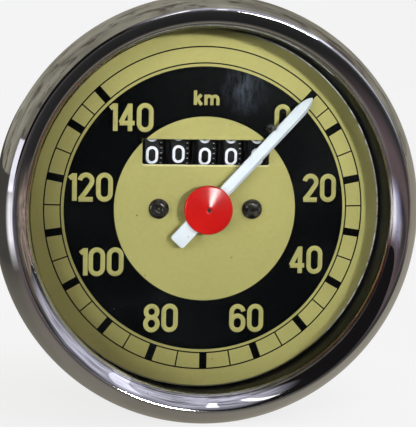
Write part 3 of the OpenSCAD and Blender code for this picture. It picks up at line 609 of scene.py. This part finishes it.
def figure(ch, w, h):
    if ch == "9":
        return [([(-x, -y) for x, y in line], closed) for line, closed in figure("6", w, h)]
    waist = 0.06 * h
    upper, lower = (h + waist) / 2, (waist - h) / 2
    upper_h, lower_h = (h - waist) / 2, (h + waist) / 2
    top = arc(0, h - w, w, w, 0, 180, 12)
    foot = arc(0, w - h, w, w, 180, 360, 12)
    lines = {
        "0": [(top + foot, CLOSED)],
        "1": [([(0.42 * w, h + 0.3), (0.42 * w, 0), (0.42 * w, -h - 0.3)], OPEN),
              ([(-0.42 * w, 0.7 * h), (0.36 * w, h)], OPEN)],
        "2": [(arc(0, h - w, w, w, 172, -38, 14) + [(-0.1 * w, -0.45 * h), (-w, -h)], OPEN),
              ([(-1.2 * w, -h), (1.15 * w, -h)], OPEN)],
        "3": [(arc(-0.05 * w, upper, 0.95 * w, upper_h, 155, -90, 12), OPEN),
              (arc(0, lower, w, lower_h, 90, -155, 12), OPEN)],
        "4": [([(0.55 * w, h + 0.3), (0.55 * w, 0), (0.55 * w, -h - 0.3)], OPEN),
              ([(0.5 * w, h), (-w, -0.45 * h)], OPEN),
              ([(-1.15 * w, -0.47 * h), (1.3 * w, -0.47 * h)], OPEN)],
        "5": [([(0.95 * w, h), (-0.8 * w, h), (-0.85 * w, 0.08 * h)], OPEN),
              (arc(-0.02 * w, -0.33 * h, w, 0.67 * h, 148, -150, 14), OPEN)],
        "6": [(arc(0, h - w, w, w, 8, 180, 12) + foot + arc(0, 0.2 * h - w, w, w, 0, 180, 12), OPEN)],
        "7": [([(-1.1 * w, h), (w, h), (0.1 * w, -0.1 * h), (-0.3 * w, -h - 0.2)], OPEN)],
        "8": [(arc(0, upper, 0.93 * w, upper_h, 0, 345, 20), CLOSED),
              (arc(0, lower, w, lower_h, 0, 345, 20), CLOSED)],
    }
    return lines[ch]


print("lines in an eight:", len(figure("8", 1, 2)))

# %% [markdown]
# A curve with a round bevel gives the lines their width. The curve is made a mesh, and flattening the
# tube leaves a thin painted stroke with soft edges.

# %% Lines to painted strokes
def painted_strokes(lines, width, thick):
    curve = bpy.data.curves.new("strokes", "CURVE")
    curve.dimensions = "3D"
    curve.bevel_depth = width / 2
    curve.bevel_resolution = 2
    curve.use_fill_caps = True
    for points, closed in lines:
        spline = curve.splines.new("POLY")
        spline.points.add(len(points) - 1)
        for dot, (x, y) in zip(spline.points, points):
            dot.co = (x, y, 0, 1)
        spline.use_cyclic_u = closed
    holder = bpy.data.objects.new("strokes", curve)
    bpy.context.scene.collection.objects.link(holder)
    ready = holder.evaluated_get(bpy.context.evaluated_depsgraph_get())
    mesh = bpy.data.meshes.new_from_object(ready)
    bpy.data.objects.remove(holder)
    bpy.data.curves.remove(curve)
    bm = bmesh.new()
    bm.from_mesh(mesh)
    bpy.data.meshes.remove(mesh)
    bmesh.ops.remove_doubles(bm, verts=bm.verts, dist=1e-4)
    bmesh.ops.scale(bm, verts=bm.verts, vec=(1, 1, thick / width))
    return bm


print("strokes ready")

# %% [markdown]
# ## Numerals on the dial
# The numbers stand upright all round the dial, so each has a place of its own, and its figures are set
# side by side about it; a one is narrower than the others. The two unit letters are drawn like the
# figures.

# %% Numerals
places = {"0": (15.75, 18.55), "20": (23.8, 4.4), "40": (21.25, -10.5), "60": (8.95, -22.5),
          "80": (-8.9, -22.3), "100": (-21.15, -10.75), "120": (-23.5, 4.3), "140": (-15.45, 18.35)}
FIGURE_W, FIGURE_H, FIGURE_STROKE, FIGURE_GAP = 1.225, 2.45, 0.95, 0.33
PAINT_THICK = 0.05
PAINT_Z = FACE + INK + 0.012
numerals = bmesh.new()


def set_down(lines, stroke, x, y):
    work = painted_strokes(lines, stroke, PAINT_THICK)
    bmesh.ops.translate(work, verts=work.verts, vec=(x, y, PAINT_Z))
    add_to(numerals, work)


for text, (cx, cy) in places.items():
    widths = [1.55 if ch == "1" else 3.4 for ch in text]
    left = cx - (sum(widths) + FIGURE_GAP * (len(text) - 1)) / 2
    for ch, width in zip(text, widths):
        set_down(figure(ch, FIGURE_W, FIGURE_H), FIGURE_STROKE, left + width / 2, cy)
        left += width + FIGURE_GAP
print("numbers on the dial:", len(places))

# %% Unit letters
LETTER_STROKE, LETTER_Y = 0.68, 21.05
arch = arc(0, 1.22, 0.62, 0.6, 180, 0, 8)
letter_k = [([(-0.6, 2.95), (-0.6, 0)], OPEN), ([(0.62, 2.1), (-0.45, 0.95)], OPEN),
            ([(-0.2, 1.15), (0.68, 0)], OPEN)]
letter_m = [([(-1.24, 2.1), (-1.24, 0)], OPEN), ([(x - 0.62, y) for x, y in arch] + [(0, 0)], OPEN),
            ([(x + 0.62, y) for x, y in arch] + [(1.24, 0)], OPEN)]
set_down(letter_k, LETTER_STROKE, -1.85, LETTER_Y)
set_down(letter_m, LETTER_STROKE, 0.95, LETTER_Y)
finish_piece("print_numerals", numerals, figure_gold, "housing", 40)
print("numeral faces:", made["print_numerals"])

# %% [markdown]
# ## Edges of the plate
# Where the plate was punched, its edge shows: a rim round the dial and an edge round the counter's
# window. The rim is spun from a short profile. Its paint has worn to bare bright metal at the right and
# is dark elsewhere, so `repaint` lays a second colour over a finish, more and more along one direction.

# %% Rim
RIM_IN, RIM_OUT = 36.26, 36.54


def repaint(material, direction, low, high, most, colour):
    tree = material.node_tree
    base = tree.nodes["Principled BSDF"].inputs["Base Color"]
    first_coat = base.links[0].from_socket
    coords = tree.nodes["Texture Coordinate"].outputs["Object"]
    cover = remap(tree, dot_with(tree, coords, direction), low, high, 0.0, most)
    tree.links.new(blend_colours(tree, cover, first_coat, colour), base)


bare = finish("Bare punched edge", (0.1, 0.1, 0.05), (0.95, 0.97, 0.98), 420, 900, (0.3, 0.5), bump=0.4)
repaint(bare, (1.0, 0.0, 0.25), 0.03, 0.016, 1.0, (0.06, 0.055, 0.02))
profile = [(RIM_IN, -4.5), (36.36, -4.43), (36.48, -4.43), (RIM_OUT, -4.55), (RIM_OUT, -5.25),
           (RIM_IN, -5.25)]
finish_piece("dial_rim", turn(profile, 192), bare, "housing", 30)
print("rim faces:", made["dial_rim"])

# %% [markdown]
# The window's edge is a row of rounded rectangles at different heights, each bridged to the next. At the
# bottom the first two are lower than the rest, which makes a narrow sill. Its paint is a paler cream there,
# a painted highlight where the sill catches the light.

# %% Window edge
SILL_FROM, SILL_FULL, SILL_HIGHLIGHT = 0.00905, 0.0089, (0.62, 0.6, 0.33)


def window_loop(bm, grow, sill, z):
    x, y, r = WINDOW_HALF_X + grow, WINDOW_HALF_Y + grow, 0.45 + grow
    points = []
    for sx, sy, start in ((1, 1, 0), (-1, 1, 90), (-1, -1, 180), (1, -1, 270)):
        corner = arc(sx * (x - r), sy * (y - r), r, r, start, start + 90, 4)
        points += [(px, py + WINDOW_Y - (sill if sy < 0 else 0), z) for px, py in corner]
    return chain(bm, points, True)[1]


def bridge_in_turn(bm, loops):
    for first, second in zip(loops, loops[1:]):
        bmesh.ops.bridge_loops(bm, edges=first + second)


window = bmesh.new()
steps_down = [(0.05, 0.26, -0.01), (0.04, 0.24, 0.03), (0.02, 0.0, 0.02), (-0.03, 0.0, -0.1),
              (-0.04, 0.0, -0.5), (0.02, 0.0, -0.55)]
bridge_in_turn(window, [window_loop(window, grow, sill, FACE + z) for grow, sill, z in steps_down])
edge_gold = gold_finish("Gold paint on the window's edge")
# Painted highlight: cream laid over the gold below one height, on the sill at the bottom of the window
repaint(edge_gold, (0.0, 0.0, 1.0), SILL_FROM, SILL_FULL, 0.8, SILL_HIGHLIGHT)
finish_piece("window_bevel", window, edge_gold, "housing", 30)
print("window faces:", made["window_bevel"])

# %% [markdown]
# ## Dial screws
# Two domed screws hold the dial, blackened and a little worn, each with a ring groove and a small drilled
# recess. A sphere cut flat would give only the dome; one turned profile holds the dome, the groove and
# the recess, and is set down twice.

# %% Dial screws
SCREW_X = 9.65


def dome(r):
    return (r, -3.45 - r * r / 18)


head = [(0, -4.5), (2.05, -4.5)] + arc(1.55, -4.1, 0.5, 0.5, 0, 78, 8)
groove = [dome(1.5), dome(1.42), (1.36, -3.62), (1.28, -3.64), (1.2, -3.6), dome(1.14)]
recess = [(0.74, -3.5), (0.65, -3.53), (0.58, -3.6), (0.54, -3.7), (0.52, -4.4), (0, -4.4)]
head += groove + [dome(1.0), dome(0.84)] + recess
screws = bmesh.new()
for x in (-SCREW_X, SCREW_X):
    turn(head, 64, bm=screws, at=(x, 0))
bronze_black = finish("Blackened bronze", (0.006, 0.0056, 0.0045), (0.05, 0.046, 0.036), 900, 1500,
                      (0.06, 0.16), metal=0.3, bump=1.0)
finish_piece("dial_screw_heads", screws, bronze_black, "housing", 40, ["dial_screws"])
print("screw faces:", made["dial_screw_heads"])

# %% [markdown]
# ## Pointer
# The pointer is painted a cool white. Old paint is never one even white, so two near tones change places
# in broad patches, a fine grain varies the gloss, and a few brownish specks show its age.

# %% Pointer paint
def white_finish():
    material, tree, shader, coords = fresh("White pointer paint")
    broad = remap(tree, noise(tree, coords, 120, 4.0), 0.35, 0.7)
    grain = noise(tree, coords, 2400, 3.0)
    colour = blend_colours(tree, broad, (0.73, 0.81, 0.85), (0.67, 0.745, 0.78))
    specks = scattered(tree, coords, 420, 0.1, 90, 0.57, 0.62)
    paint_on(tree, shader, blend_colours(tree, specks, colour, (0.45, 0.43, 0.38)),
             remap(tree, grain, 0.3, 0.7, 0.3, 0.45))
    bumped(tree, shader, grain, 0.1, 0.00003)
    return material


white_paint = white_finish()
print("pointer paint nodes:", len(white_paint.node_tree.nodes))

# %% [markdown]
# The blade is pressed sheet with a ridge off its middle, so one facet is lit and the other is in shade.
# Cross sections along the blade are bridged one to the next: a square tail, a flat part under the cap, a
# step up to the ridge, and a rounded point. A box could be pulled to that shape, but sections can be read
# and changed one by one.

# %% Pointer blade
UNDERSIDE, RIDGE_AT = -2.36, 0.48
# Each section: place along the blade, half width, height of its edges, height of the ridge above them
tail = [(-9.3, 1.25, -1.72, 0.0), (-9.12, 1.55, -1.64, 0.0), (-8.85, 1.675, -1.6, 0.0),
        (-3.2, 1.675, -1.6, 0.0)]
neck = [(-1.5, 1.2, -1.6, 0.0), (4.6, 1.12, -1.62, 0.0), (5.2, 1.12, -1.62, 0.03)]
arm = [(6.15, 1.2, -1.62, 0.52), (14.0, 1.2, -1.64, 0.52), (24.0, 1.2, -1.68, 0.5),
       (27.6, 1.2, -1.72, 0.46)]
point = [(29.3, 0.98, -1.76, 0.38), (30.4, 0.62, -1.82, 0.26), (31.0, 0.27, -1.88, 0.12),
         (31.2, 0.08, -1.95, 0.04)]
blade = bmesh.new()
loops = []
for y, half, top, ridge in tail + neck + arm + point:
    section = [(-half, y, UNDERSIDE), (-half, y, top), (RIDGE_AT * half, y, top + ridge), (half, y, top),
               (half, y, UNDERSIDE)]
    loops.append(chain(blade, section, True)[1])
bridge_in_turn(blade, loops)
bmesh.ops.holes_fill(blade, edges=[e for e in blade.edges if e.is_boundary], sides=0)
print("sections along the blade:", len(loops))

# %% [markdown]
# A pressed and painted edge is never sharp. A bevel rounds the long upper edges, which are found by their
# height, their direction and the angle between their faces. Then the blade is turned to the zero of the
# scale.

# %% Rounded edges of the blade
def runs_along_top(edge):
    a, b = (v.co for v in edge.verts)
    return abs(a.z - b.z) < 0.2 and a.z > -2.2 and abs(a.y - b.y) > 0.1 and edge.calc_face_angle(0) > 1.0


upper_edges = [e for e in blade.edges if runs_along_top(e)]
bmesh.ops.bevel(blade, geom=upper_edges, offset=0.12, offset_type="OFFSET", affect="EDGES", segments=2,
                profile=0.5, material=-1)
at_zero = Matrix.Rotation(math.radians(-ZERO_AT), 3, "Z")
bmesh.ops.rotate(blade, verts=blade.verts, cent=(0, 0, 0), matrix=at_zero)
pointer = finish_piece("pointer_ridged_blade", blade, white_paint, "pointer", 20, ["pointer_blade"])
print("blade faces:", made["pointer_ridged_blade"], "edges rounded:", len(upper_edges))

# %% [markdown]
# ## Red cap
# The cap is a shallow glossy cone with a small hole at its tip. A cone gives one long highlight from tip
# to rim, which a dome would not, so the slope stays straight and only the rim is rounded. In the hole
# sits the dark end of the pin.

# %% Cap
def red_finish():
    material, tree, shader, coords = fresh("Glossy red cap")
    broad = remap(tree, noise(tree, coords, 180, 3.0), 0.3, 0.7)
    grain = noise(tree, coords, 1800, 3.0)
    paint_on(tree, shader, blend_colours(tree, broad, (0.42, 0.005, 0.004), (0.48, 0.008, 0.006)),
             remap(tree, grain, 0.3, 0.7, 0.12, 0.17))
    shader.inputs["Specular IOR Level"].default_value = 0.3
    bumped(tree, shader, noise(tree, coords, 700, 2.0), 0.03, GRAIN_DEPTH)
    return material


red_gloss = red_finish()
CAP_R, CAP_HOLE_R, CAP_FOOT = 4.95, 0.4, -1.5
profile = [(CAP_HOLE_R, CAP_FOOT), (CAP_HOLE_R, -0.2), (0.5, -0.14), (0.75, -0.15), (0.9, -0.1679),
           (4.62, -0.6109), (4.78, -0.63), (CAP_R, -0.8), (CAP_R, CAP_FOOT)]
cap = finish_piece("pointer_cone_cap", turn(profile, 128, [(6, 0.12), (7, 0.12)]), red_gloss, "pointer", 40,
                   ["pointer_cap"])
profile = [(0, -1.4), (0.41, -1.4), (0.41, -0.55), (0, -0.55)]
finish_piece("pointer_pin_end", turn(profile, 32), shop["black_steel"], "pointer", 40)
print("cap faces:", made["pointer_cone_cap"], "pin faces:", made["pointer_pin_end"])

# %% [markdown]
# ## Numbers on the drums
# Ten white figures go round each drum, 36 degrees apart. They are drawn flat like the dial's numerals and
# then wrapped: height on the drawing becomes an angle on the drum. A bend modifier could do that too, but
# the radius is known here, and two lines of trigonometry are exact. Long edges are cut first, so that
# they can follow.

# %% Wrapping
DRUM_Z, TOOTH_GLINT = -13.3, (0.32, 0.12, 0.04)


def wrap(bm, x, drop, radius):
    for v in bm.verts:
        angle = (v.co.y - drop) / radius
        reach = radius + v.co.z
        y, z = WINDOW_Y + reach * math.sin(angle), DRUM_Z + reach * math.cos(angle)
        v.co = Vector((v.co.x + x, y, z))
    return bm


def drum_figure(digit):
    work = painted_strokes(figure(str(digit), 0.98, 1.56), 0.56, 0.07)
    long_edges = [e for e in work.edges if e.calc_length() > 0.5]
    bmesh.ops.subdivide_edges(work, edges=long_edges, cuts=3)
    return work


# Each mark is a painted highlight: a small white box where a tooth's edge catches the light
def tooth_mark():
    work = bmesh.new()
    box = bmesh.ops.create_cube(work, size=1.0)["verts"]
    bmesh.ops.scale(work, verts=box, vec=TOOTH_GLINT)
    return work


print("a tooth's mark in mm:", TOOTH_GLINT)

# %% [markdown]
# Each drum is set by hand on the real counter, so the rows don't line up perfectly: `drums` says where
# each stands across the window and how far its row hangs down. All but the units drum also have fine
# white marks on the carry teeth at their side, painted highlights where the light catches the teeth's
# edges.

# %% Drum numbers
DRUM_R, TEETH_R = 7.3, 6.62
TEETH, TEETH_X, TEETH_DROP = 40, 1.95, 0.3
drums = {"units": (10.9, 0.95), "tens": (5.45, 0.95), "hundreds": (0.0, 0.95), "thousands": (-5.45, 0.5),
         "ten_thousands": (-10.9, 0.75)}
# White drum ink: the printed figures, and also the painted highlights on the carry teeth
white_ink_and_glints = finish("White drum ink", (0.78, 0.81, 0.88), (0.9, 0.92, 0.98), 500, 3200, (0.35, 0.5),
                   bump=0.2)
for body, (x, drop) in drums.items():
    numbers = bmesh.new()
    for digit in range(10):
        add_to(numbers, wrap(drum_figure(digit), x, drop + digit * math.tau * DRUM_R / 10, DRUM_R))
    for tooth in range(TEETH if body != "units" else 0):
        down = TEETH_DROP + tooth * math.tau * TEETH_R / TEETH
        add_to(numbers, wrap(tooth_mark(), x + TEETH_X, down, TEETH_R))
    finish_piece("numbers_" + body, numbers, white_ink_and_glints, body, 40)
print("faces on the units and tens drums:", made["numbers_units"], made["numbers_tens"])

# %% [markdown]
# ## Threads on the back
# The spigot and the studs are screwed, so each gets a turned core and a ridge that climbs round it. A
# spin with a small step along the axis makes the ridge: it is how a screw thread is drawn with one
# operator.

# %% Thread
def thread(bm, root, crest, start, pitch, turns, steps, at=(0, 0)):
    work = bmesh.new()
    ridge = [(root, 0, start), (crest, 0, start + 0.4 * pitch), (crest, 0, start + 0.55 * pitch),
             (root, 0, start + 0.95 * pitch)]
    verts, edges = chain(work, ridge, False)
    bmesh.ops.spin(work, geom=verts + edges, cent=(0, 0, 0), axis=(0, 0, 1), dvec=(0, 0, pitch / steps),
                   angle=math.tau * turns, steps=steps * turns)
    bmesh.ops.recalc_face_normals(work, faces=work.faces)
    bmesh.ops.translate(work, verts=work.verts, vec=(*at, 0))
    return add_to(bm, work)


spigot_brass = finish("Threaded brass", (0.36, 0.26, 0.1), (0.56, 0.43, 0.2), 140, 1500, (0.24, 0.45),
                      metal=1.0, stretch=(1, 8, 1), specks=(300, 0.1, (0.1, 0.08, 0.04)))
zinc = finish("Zinc plate", (0.34, 0.335, 0.31), (0.56, 0.55, 0.51), 160, 1600, (0.28, 0.48),
              metal=1.0, stretch=(1, 6, 1))
print("thread and its two finishes ready")

# %% [markdown]
# The spigot takes the nut of the drive cable. Its profile goes from the open end along the core of the
# thread to the seat on the case, through the floor to the collar inside, and back through the bore.

# %% Spigot
SPIGOT_R, SPIGOT_END, ON_CASE = 8.98, -66.05, -52.06
profile = [(5.5, SPIGOT_END), (8.1, SPIGOT_END), (8.3, -65.6), (8.3, -53.4), (SPIGOT_R, -53.2),
           (SPIGOT_R, ON_CASE), (8.6, ON_CASE), (8.6, CASE_INSIDE), (10.5, CASE_INSIDE), (10.5, -49.55),
           (4.53, -49.55), (4.53, -58.55), (5.5, -58.55)]
spigot = turn(profile, 128, [(0, 0.4)])
thread(spigot, 8.25, SPIGOT_R, -65.5, 1.5, 8, 40)
piece = finish_piece("spigot_threaded", spigot, spigot_brass, "housing", 30, ["drive_spigot"])
print("spigot faces:", made["spigot_threaded"])

# %% [markdown]
# Two studs hold the instrument in its panel. They are made like the spigot, but smaller and solid, and a
# loop sets the same stud down at either side.

# %% Studs
STUD_X, STUD_R, STUD_END = 25, 2.98, -68.05
profile = [(0, STUD_END), (2.2, STUD_END), (2.55, -67.5), (2.55, -54.2), (STUD_R, -53.9), (STUD_R, ON_CASE),
           (2.6, ON_CASE), (2.6, CASE_INSIDE), (4.5, CASE_INSIDE), (4.5, -50.05), (0, -50.05)]
studs = bmesh.new()
for x in (-STUD_X, STUD_X):
    turn(profile, 48, bm=studs, at=(x, 0))
    thread(studs, 2.5, STUD_R, -67.6, 1.0, 13, 32, (x, 0))
piece = finish_piece("studs_threaded", studs, zinc, "housing", 30, ["mounting_studs"])
print("stud faces:", made["studs_threaded"])

# %% [markdown]
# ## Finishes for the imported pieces
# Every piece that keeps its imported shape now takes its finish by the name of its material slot. Nothing
# is left in a plain colour, also not the movement that only shows through the counter's window. The stop
# pin on the dial is blackened like the screws beside it.

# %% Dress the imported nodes
shop.update({"dial_gold": gold, "plated_fixing": zinc, "spigot_metal": spigot_brass, "black_enamel": enamel,
             "bezel_chrome": chrome, "clear_glass": glass, "black_trim": satin,
             "pointer_white": white_paint, "cap_red": red_gloss})
for part in frame["record"]["subparts"]:
    for slot in nodes[part["node"]].material_slots:
        slot.material = shop[part["material_slot"]]
nodes["pointer_stop"].material_slots[0].material = bronze_black

# %% [markdown]
# ## Floor
# The floor is a wide shallow dish with a low rim, so it is also the backdrop from every side. A flat
# plane would show its horizon in low views, and a box would show its corners.

# %% Floor shape
profile = [(0, 0), (900, 0), (1020, 30), (1120, 95), (1180, 200), (1190, 200), (1190, -5), (0, -5)]
dish = turn(profile, 96)
bmesh.ops.transform(dish, matrix=Matrix.Scale(0.001, 4), verts=dish.verts)
bmesh.ops.translate(dish, verts=dish.verts, vec=(0, 0, cad_box[0].z - 0.0002))
mesh = bpy.data.meshes.new("floor")
dish.to_mesh(mesh)
dish.free()
mesh.shade_smooth()
floor = bpy.data.objects.new("floor", mesh)
bpy.context.scene.collection.objects.link(floor)
print("floor faces:", len(mesh.polygons))

# %% [markdown]
# Chrome looks like what stands round it, so in reflections the floor isn't even. It glows a warm grey
# behind the object and a cloudy beige at the right. Straight in front there is no glow, which keeps the
# inner slope of the bezel dark. The place on the floor, and the bearing from the bezel's left edge, say
# where each glow begins.

# %% Floor glow
BLACK = (0.0, 0.0, 0.0)
BEZEL_EDGE_X = 0.042
material, tree, shader, coords = fresh("Pale floor")
shader.inputs["Roughness"].default_value = 0.9
shader.inputs["Specular IOR Level"].default_value = 0.1
spot = tree.nodes.new("ShaderNodeSeparateXYZ")
tree.links.new(coords, spot.inputs[0])
sideways = plus(tree, spot.outputs["X"], BEZEL_EDGE_X)
forward = times(tree, spot.outputs["Y"], -1.0)
bearing = reckon(tree, "ARCTAN2", sideways, forward)


def across(axis, low, high, to_low=0.0, to_high=1.0):
    return remap(tree, spot.outputs[axis], low, high, to_low, to_high)


def bearing_between(low, high):
    return remap(tree, bearing, math.radians(low), math.radians(high))


behind = times(tree, across("Y", -0.04, 0.0), across("X", -0.13, 0.02, 0.06, 0.38))
behind = blend_colours(tree, behind, BLACK, (1.0, 0.93, 0.76))
clouds = remap(tree, noise(tree, coords, 9.0, 4.0, 0.6), 0.38, 0.62, 0.15, 0.75)
right = times(tree, clouds, across("X", 0.13, 0.24))
right = times(tree, right, bearing_between(32, 50))
right = times(tree, right, across("Y", 0.02, -0.06))
warm = blend_colours(tree, right, behind, (0.8, 0.62, 0.5))
print("floor glow nodes so far:", len(tree.nodes))

# %% [markdown]
# At the left the floor is brown close by. Beyond that lies a strip whose colour goes by its bearing, from
# white to lavender. A colour ramp holds the strip's colours, which is plainer than one blend after
# another.

# %% Strip at the left
strip = tree.nodes.new("ShaderNodeValToRGB")
tree.links.new(bearing_between(-125, -25), strip.inputs["Fac"])
ends = strip.color_ramp.elements
for end, position in zip(ends, (0.21, 1.0)):
    end.position, end.color = position, (*BLACK, 1)
for position, colour in ((0.27, (1.5, 1.5, 1.55)), (0.48, (1.4, 1.4, 1.5)), (0.6, (0.7, 0.72, 1.0)),
                         (0.78, (0.42, 0.42, 0.68)), (0.9, (0.17, 0.14, 0.26))):
    ends.new(position).color = (*colour, 1)
far = times(tree, across("X", -0.11, -0.2), across("Z", -0.03, 0.13, 1.0, 0.0))
close_by = times(tree, across("X", 0.0, -0.06), across("Y", 0.01, -0.03))
brown = blend_colours(tree, close_by, BLACK, (0.15, 0.105, 0.115))
left = blend_colours(tree, far, brown, strip.outputs["Color"])
print("colours in the strip:", len(ends))

# %% [markdown]
# To the camera the floor is plain. A Light Path node gives camera rays one even pale glow over a dim base
# colour, which still takes the object's shadow, and keeps the uneven glow for reflections and glass.

# %% What each kind of ray sees
path = tree.nodes.new("ShaderNodeLightPath")
direct = path.outputs["Is Camera Ray"]
indirect = remap(tree, direct, 0.0, 1.0, 1.0, 0.0)
glow = blend_colours(tree, indirect, left, warm, "ADD")
tree.links.new(blend_colours(tree, direct, glow, (0.8, 0.8, 0.8)), shader.inputs["Emission Color"])
mirrored = reckon(tree, "MAXIMUM", path.outputs["Is Glossy Ray"], path.outputs["Is Transmission Ray"])
tree.links.new(reckon(tree, "MAXIMUM", mirrored, direct), shader.inputs["Emission Strength"])
base = blend_colours(tree, direct, (0.05, 0.05, 0.05), (0.25, 0.25, 0.25))
tree.links.new(base, shader.inputs["Base Color"])
floor.data.materials.append(material)
print("floor nodes:", len(tree.nodes))

# %% [markdown]
# ## Lamps
# A small lamp from the upper right is the key: it lights the dial and gives the highlights on the cap and
# the screws. A large fill from the left softens its shadows and is kept out of reflections. The other
# lamps are thin and dim and hardly light anything: they are cards for the chrome, which shows them as
# pale lines.

# %% Lamps
LAVENDER = (0.86, 0.87, 1.0)


def soft_lamp(name, direction, away, size, watts, colour=(1, 1, 1), lies_along=(1, 0, 0)):
    data = bpy.data.lights.new(name, "AREA")
    data.shape = "RECTANGLE"
    data.size, data.size_y = size
    data.energy = watts
    data.color = colour
    lamp = bpy.data.objects.new(name, data)
    upright = STAND.to_3x3().normalized()
    place = upright @ Vector(direction).normalized()
    side = upright @ Vector(lies_along)
    side = (side - place * side.dot(place)).normalized()
    turned = Matrix((side, place.cross(side), place)).transposed().to_4x4()
    turned.translation = place * away
    lamp.matrix_world = turned
    bpy.context.scene.collection.objects.link(lamp)
    return lamp


soft_lamp("key", (0.255, 0.124, 0.96), 1.15, (0.08, 0.08), 2.65)
fill = soft_lamp("left_fill", (-0.627, 0.087, 0.774), 1.1, (0.43, 0.25), 7.2)
fill.visible_glossy = False
soft_lamp("left_card", (-0.97, 0.19, -0.15), 1.1, (0.1, 0.34), 0.16, LAVENDER, (0.15, 0, -0.97))
soft_lamp("upper_strip", (0.04, 0.62, 0.78), 1.05, (0.05, 0.6), 0.24)
soft_lamp("upper_line", (0.2, 0.62, 0.77), 1.05, (0.04, 0.5), 0.1)
soft_lamp("right_line", (0.513, 0.5425, 0.3115), 0.86, (1.2, 0.09), 0.3, LAVENDER, (0.232, 0.401, -1.081))
print("lamps:", len(bpy.data.lights))

# %% [markdown]
# ## Room
# The world is the rest of what the chrome sees: a mottled warm grey behind the object, so that the outer
# side of the bezel reads as grey, darkness in front, and a streaky pale side at the upper right. Dot
# products with a few directions say where each begins and ends.

# %% Room
world = bpy.data.worlds.new("room")
world.use_nodes = True
tree = world.node_tree
sky = tree.nodes.new("ShaderNodeTexCoord").outputs["Generated"]
patches = remap(tree, noise(tree, sky, 3.2, 3.0), 0.35, 0.65)
room = blend_colours(tree, patches, (0.26, 0.249, 0.2), (0.5, 0.48, 0.39))
blotches = remap(tree, noise(tree, sky, 9.0, 4.0, 0.6), 0.55, 0.6, 0.0, 0.8)
room = blend_colours(tree, blotches, room, (0.1, 0.08, 0.07))
rear = remap(tree, dot_with(tree, sky, (0.0, 1.0, 0.25)), 0.02, 0.35)
room = blend_colours(tree, rear, (0.012, 0.011, 0.012), room)
streaks = remap(tree, noise(tree, sky, 7.0, 5.0, 0.6), 0.36, 0.62)
pale_side = blend_colours(tree, streaks, (0.2, 0.19, 0.24), (1.05, 1.06, 1.25))
upper_right = remap(tree, dot_with(tree, sky, (0.5, -0.43, 0.75)), 0.7, 0.84)
room = blend_colours(tree, upper_right, room, pale_side)
tree.links.new(room, tree.nodes["Background"].inputs["Color"])
bpy.context.scene.world = world
print("room nodes:", len(tree.nodes))

# %% [markdown]
# ## Camera
# The dial is seen from the left and a little above, near and through a long lens, which keeps its circles
# nearly round. Azimuth and elevation give the direction, the roll turns the picture a degree, and the aim
# is a point on the dial. An empty to look at would do as well, but a matrix from three directions needs
# no constraint.

# %% Camera
def camera_at(azimuth, elevation, distance, aim, roll, lens):
    a, e, r = (math.radians(v) for v in (azimuth, elevation, roll))
    away = Vector((math.sin(a) * math.cos(e), math.sin(e), math.cos(a) * math.cos(e)))
    right = Vector((0, 1, 0)).cross(away).normalized()
    up = away.cross(right)
    right, up = right * math.cos(r) + up * math.sin(r), up * math.cos(r) - right * math.sin(r)
    turned = Matrix((right, up, away)).transposed().to_4x4()
    turned.translation = (Vector(aim) + away * distance) * 0.001
    data = bpy.data.cameras.new("camera")
    data.lens = lens
    data.sensor_width = 36
    data.clip_start, data.clip_end = 0.01, 50
    camera = bpy.data.objects.new("camera", data)
    bpy.context.scene.collection.objects.link(camera)
    camera.matrix_world = UPRIGHT @ turned
    return camera


bpy.context.scene.camera = camera_at(azimuth=-10.96, elevation=4.527, distance=300.0,
                                     aim=(-0.26, -0.61, 0.0), roll=1.008, lens=126.04)
bpy.context.scene.view_settings.view_transform = "Standard"
print("camera at:", [round(v, 3) for v in bpy.context.scene.camera.matrix_world.translation])

# %% [markdown]
# ## Pieces made
# The last line prints how many pieces were made and how many faces they have.

# %% Pieces made
print("pieces made:", len(made), "faces:", sum(made.values()))
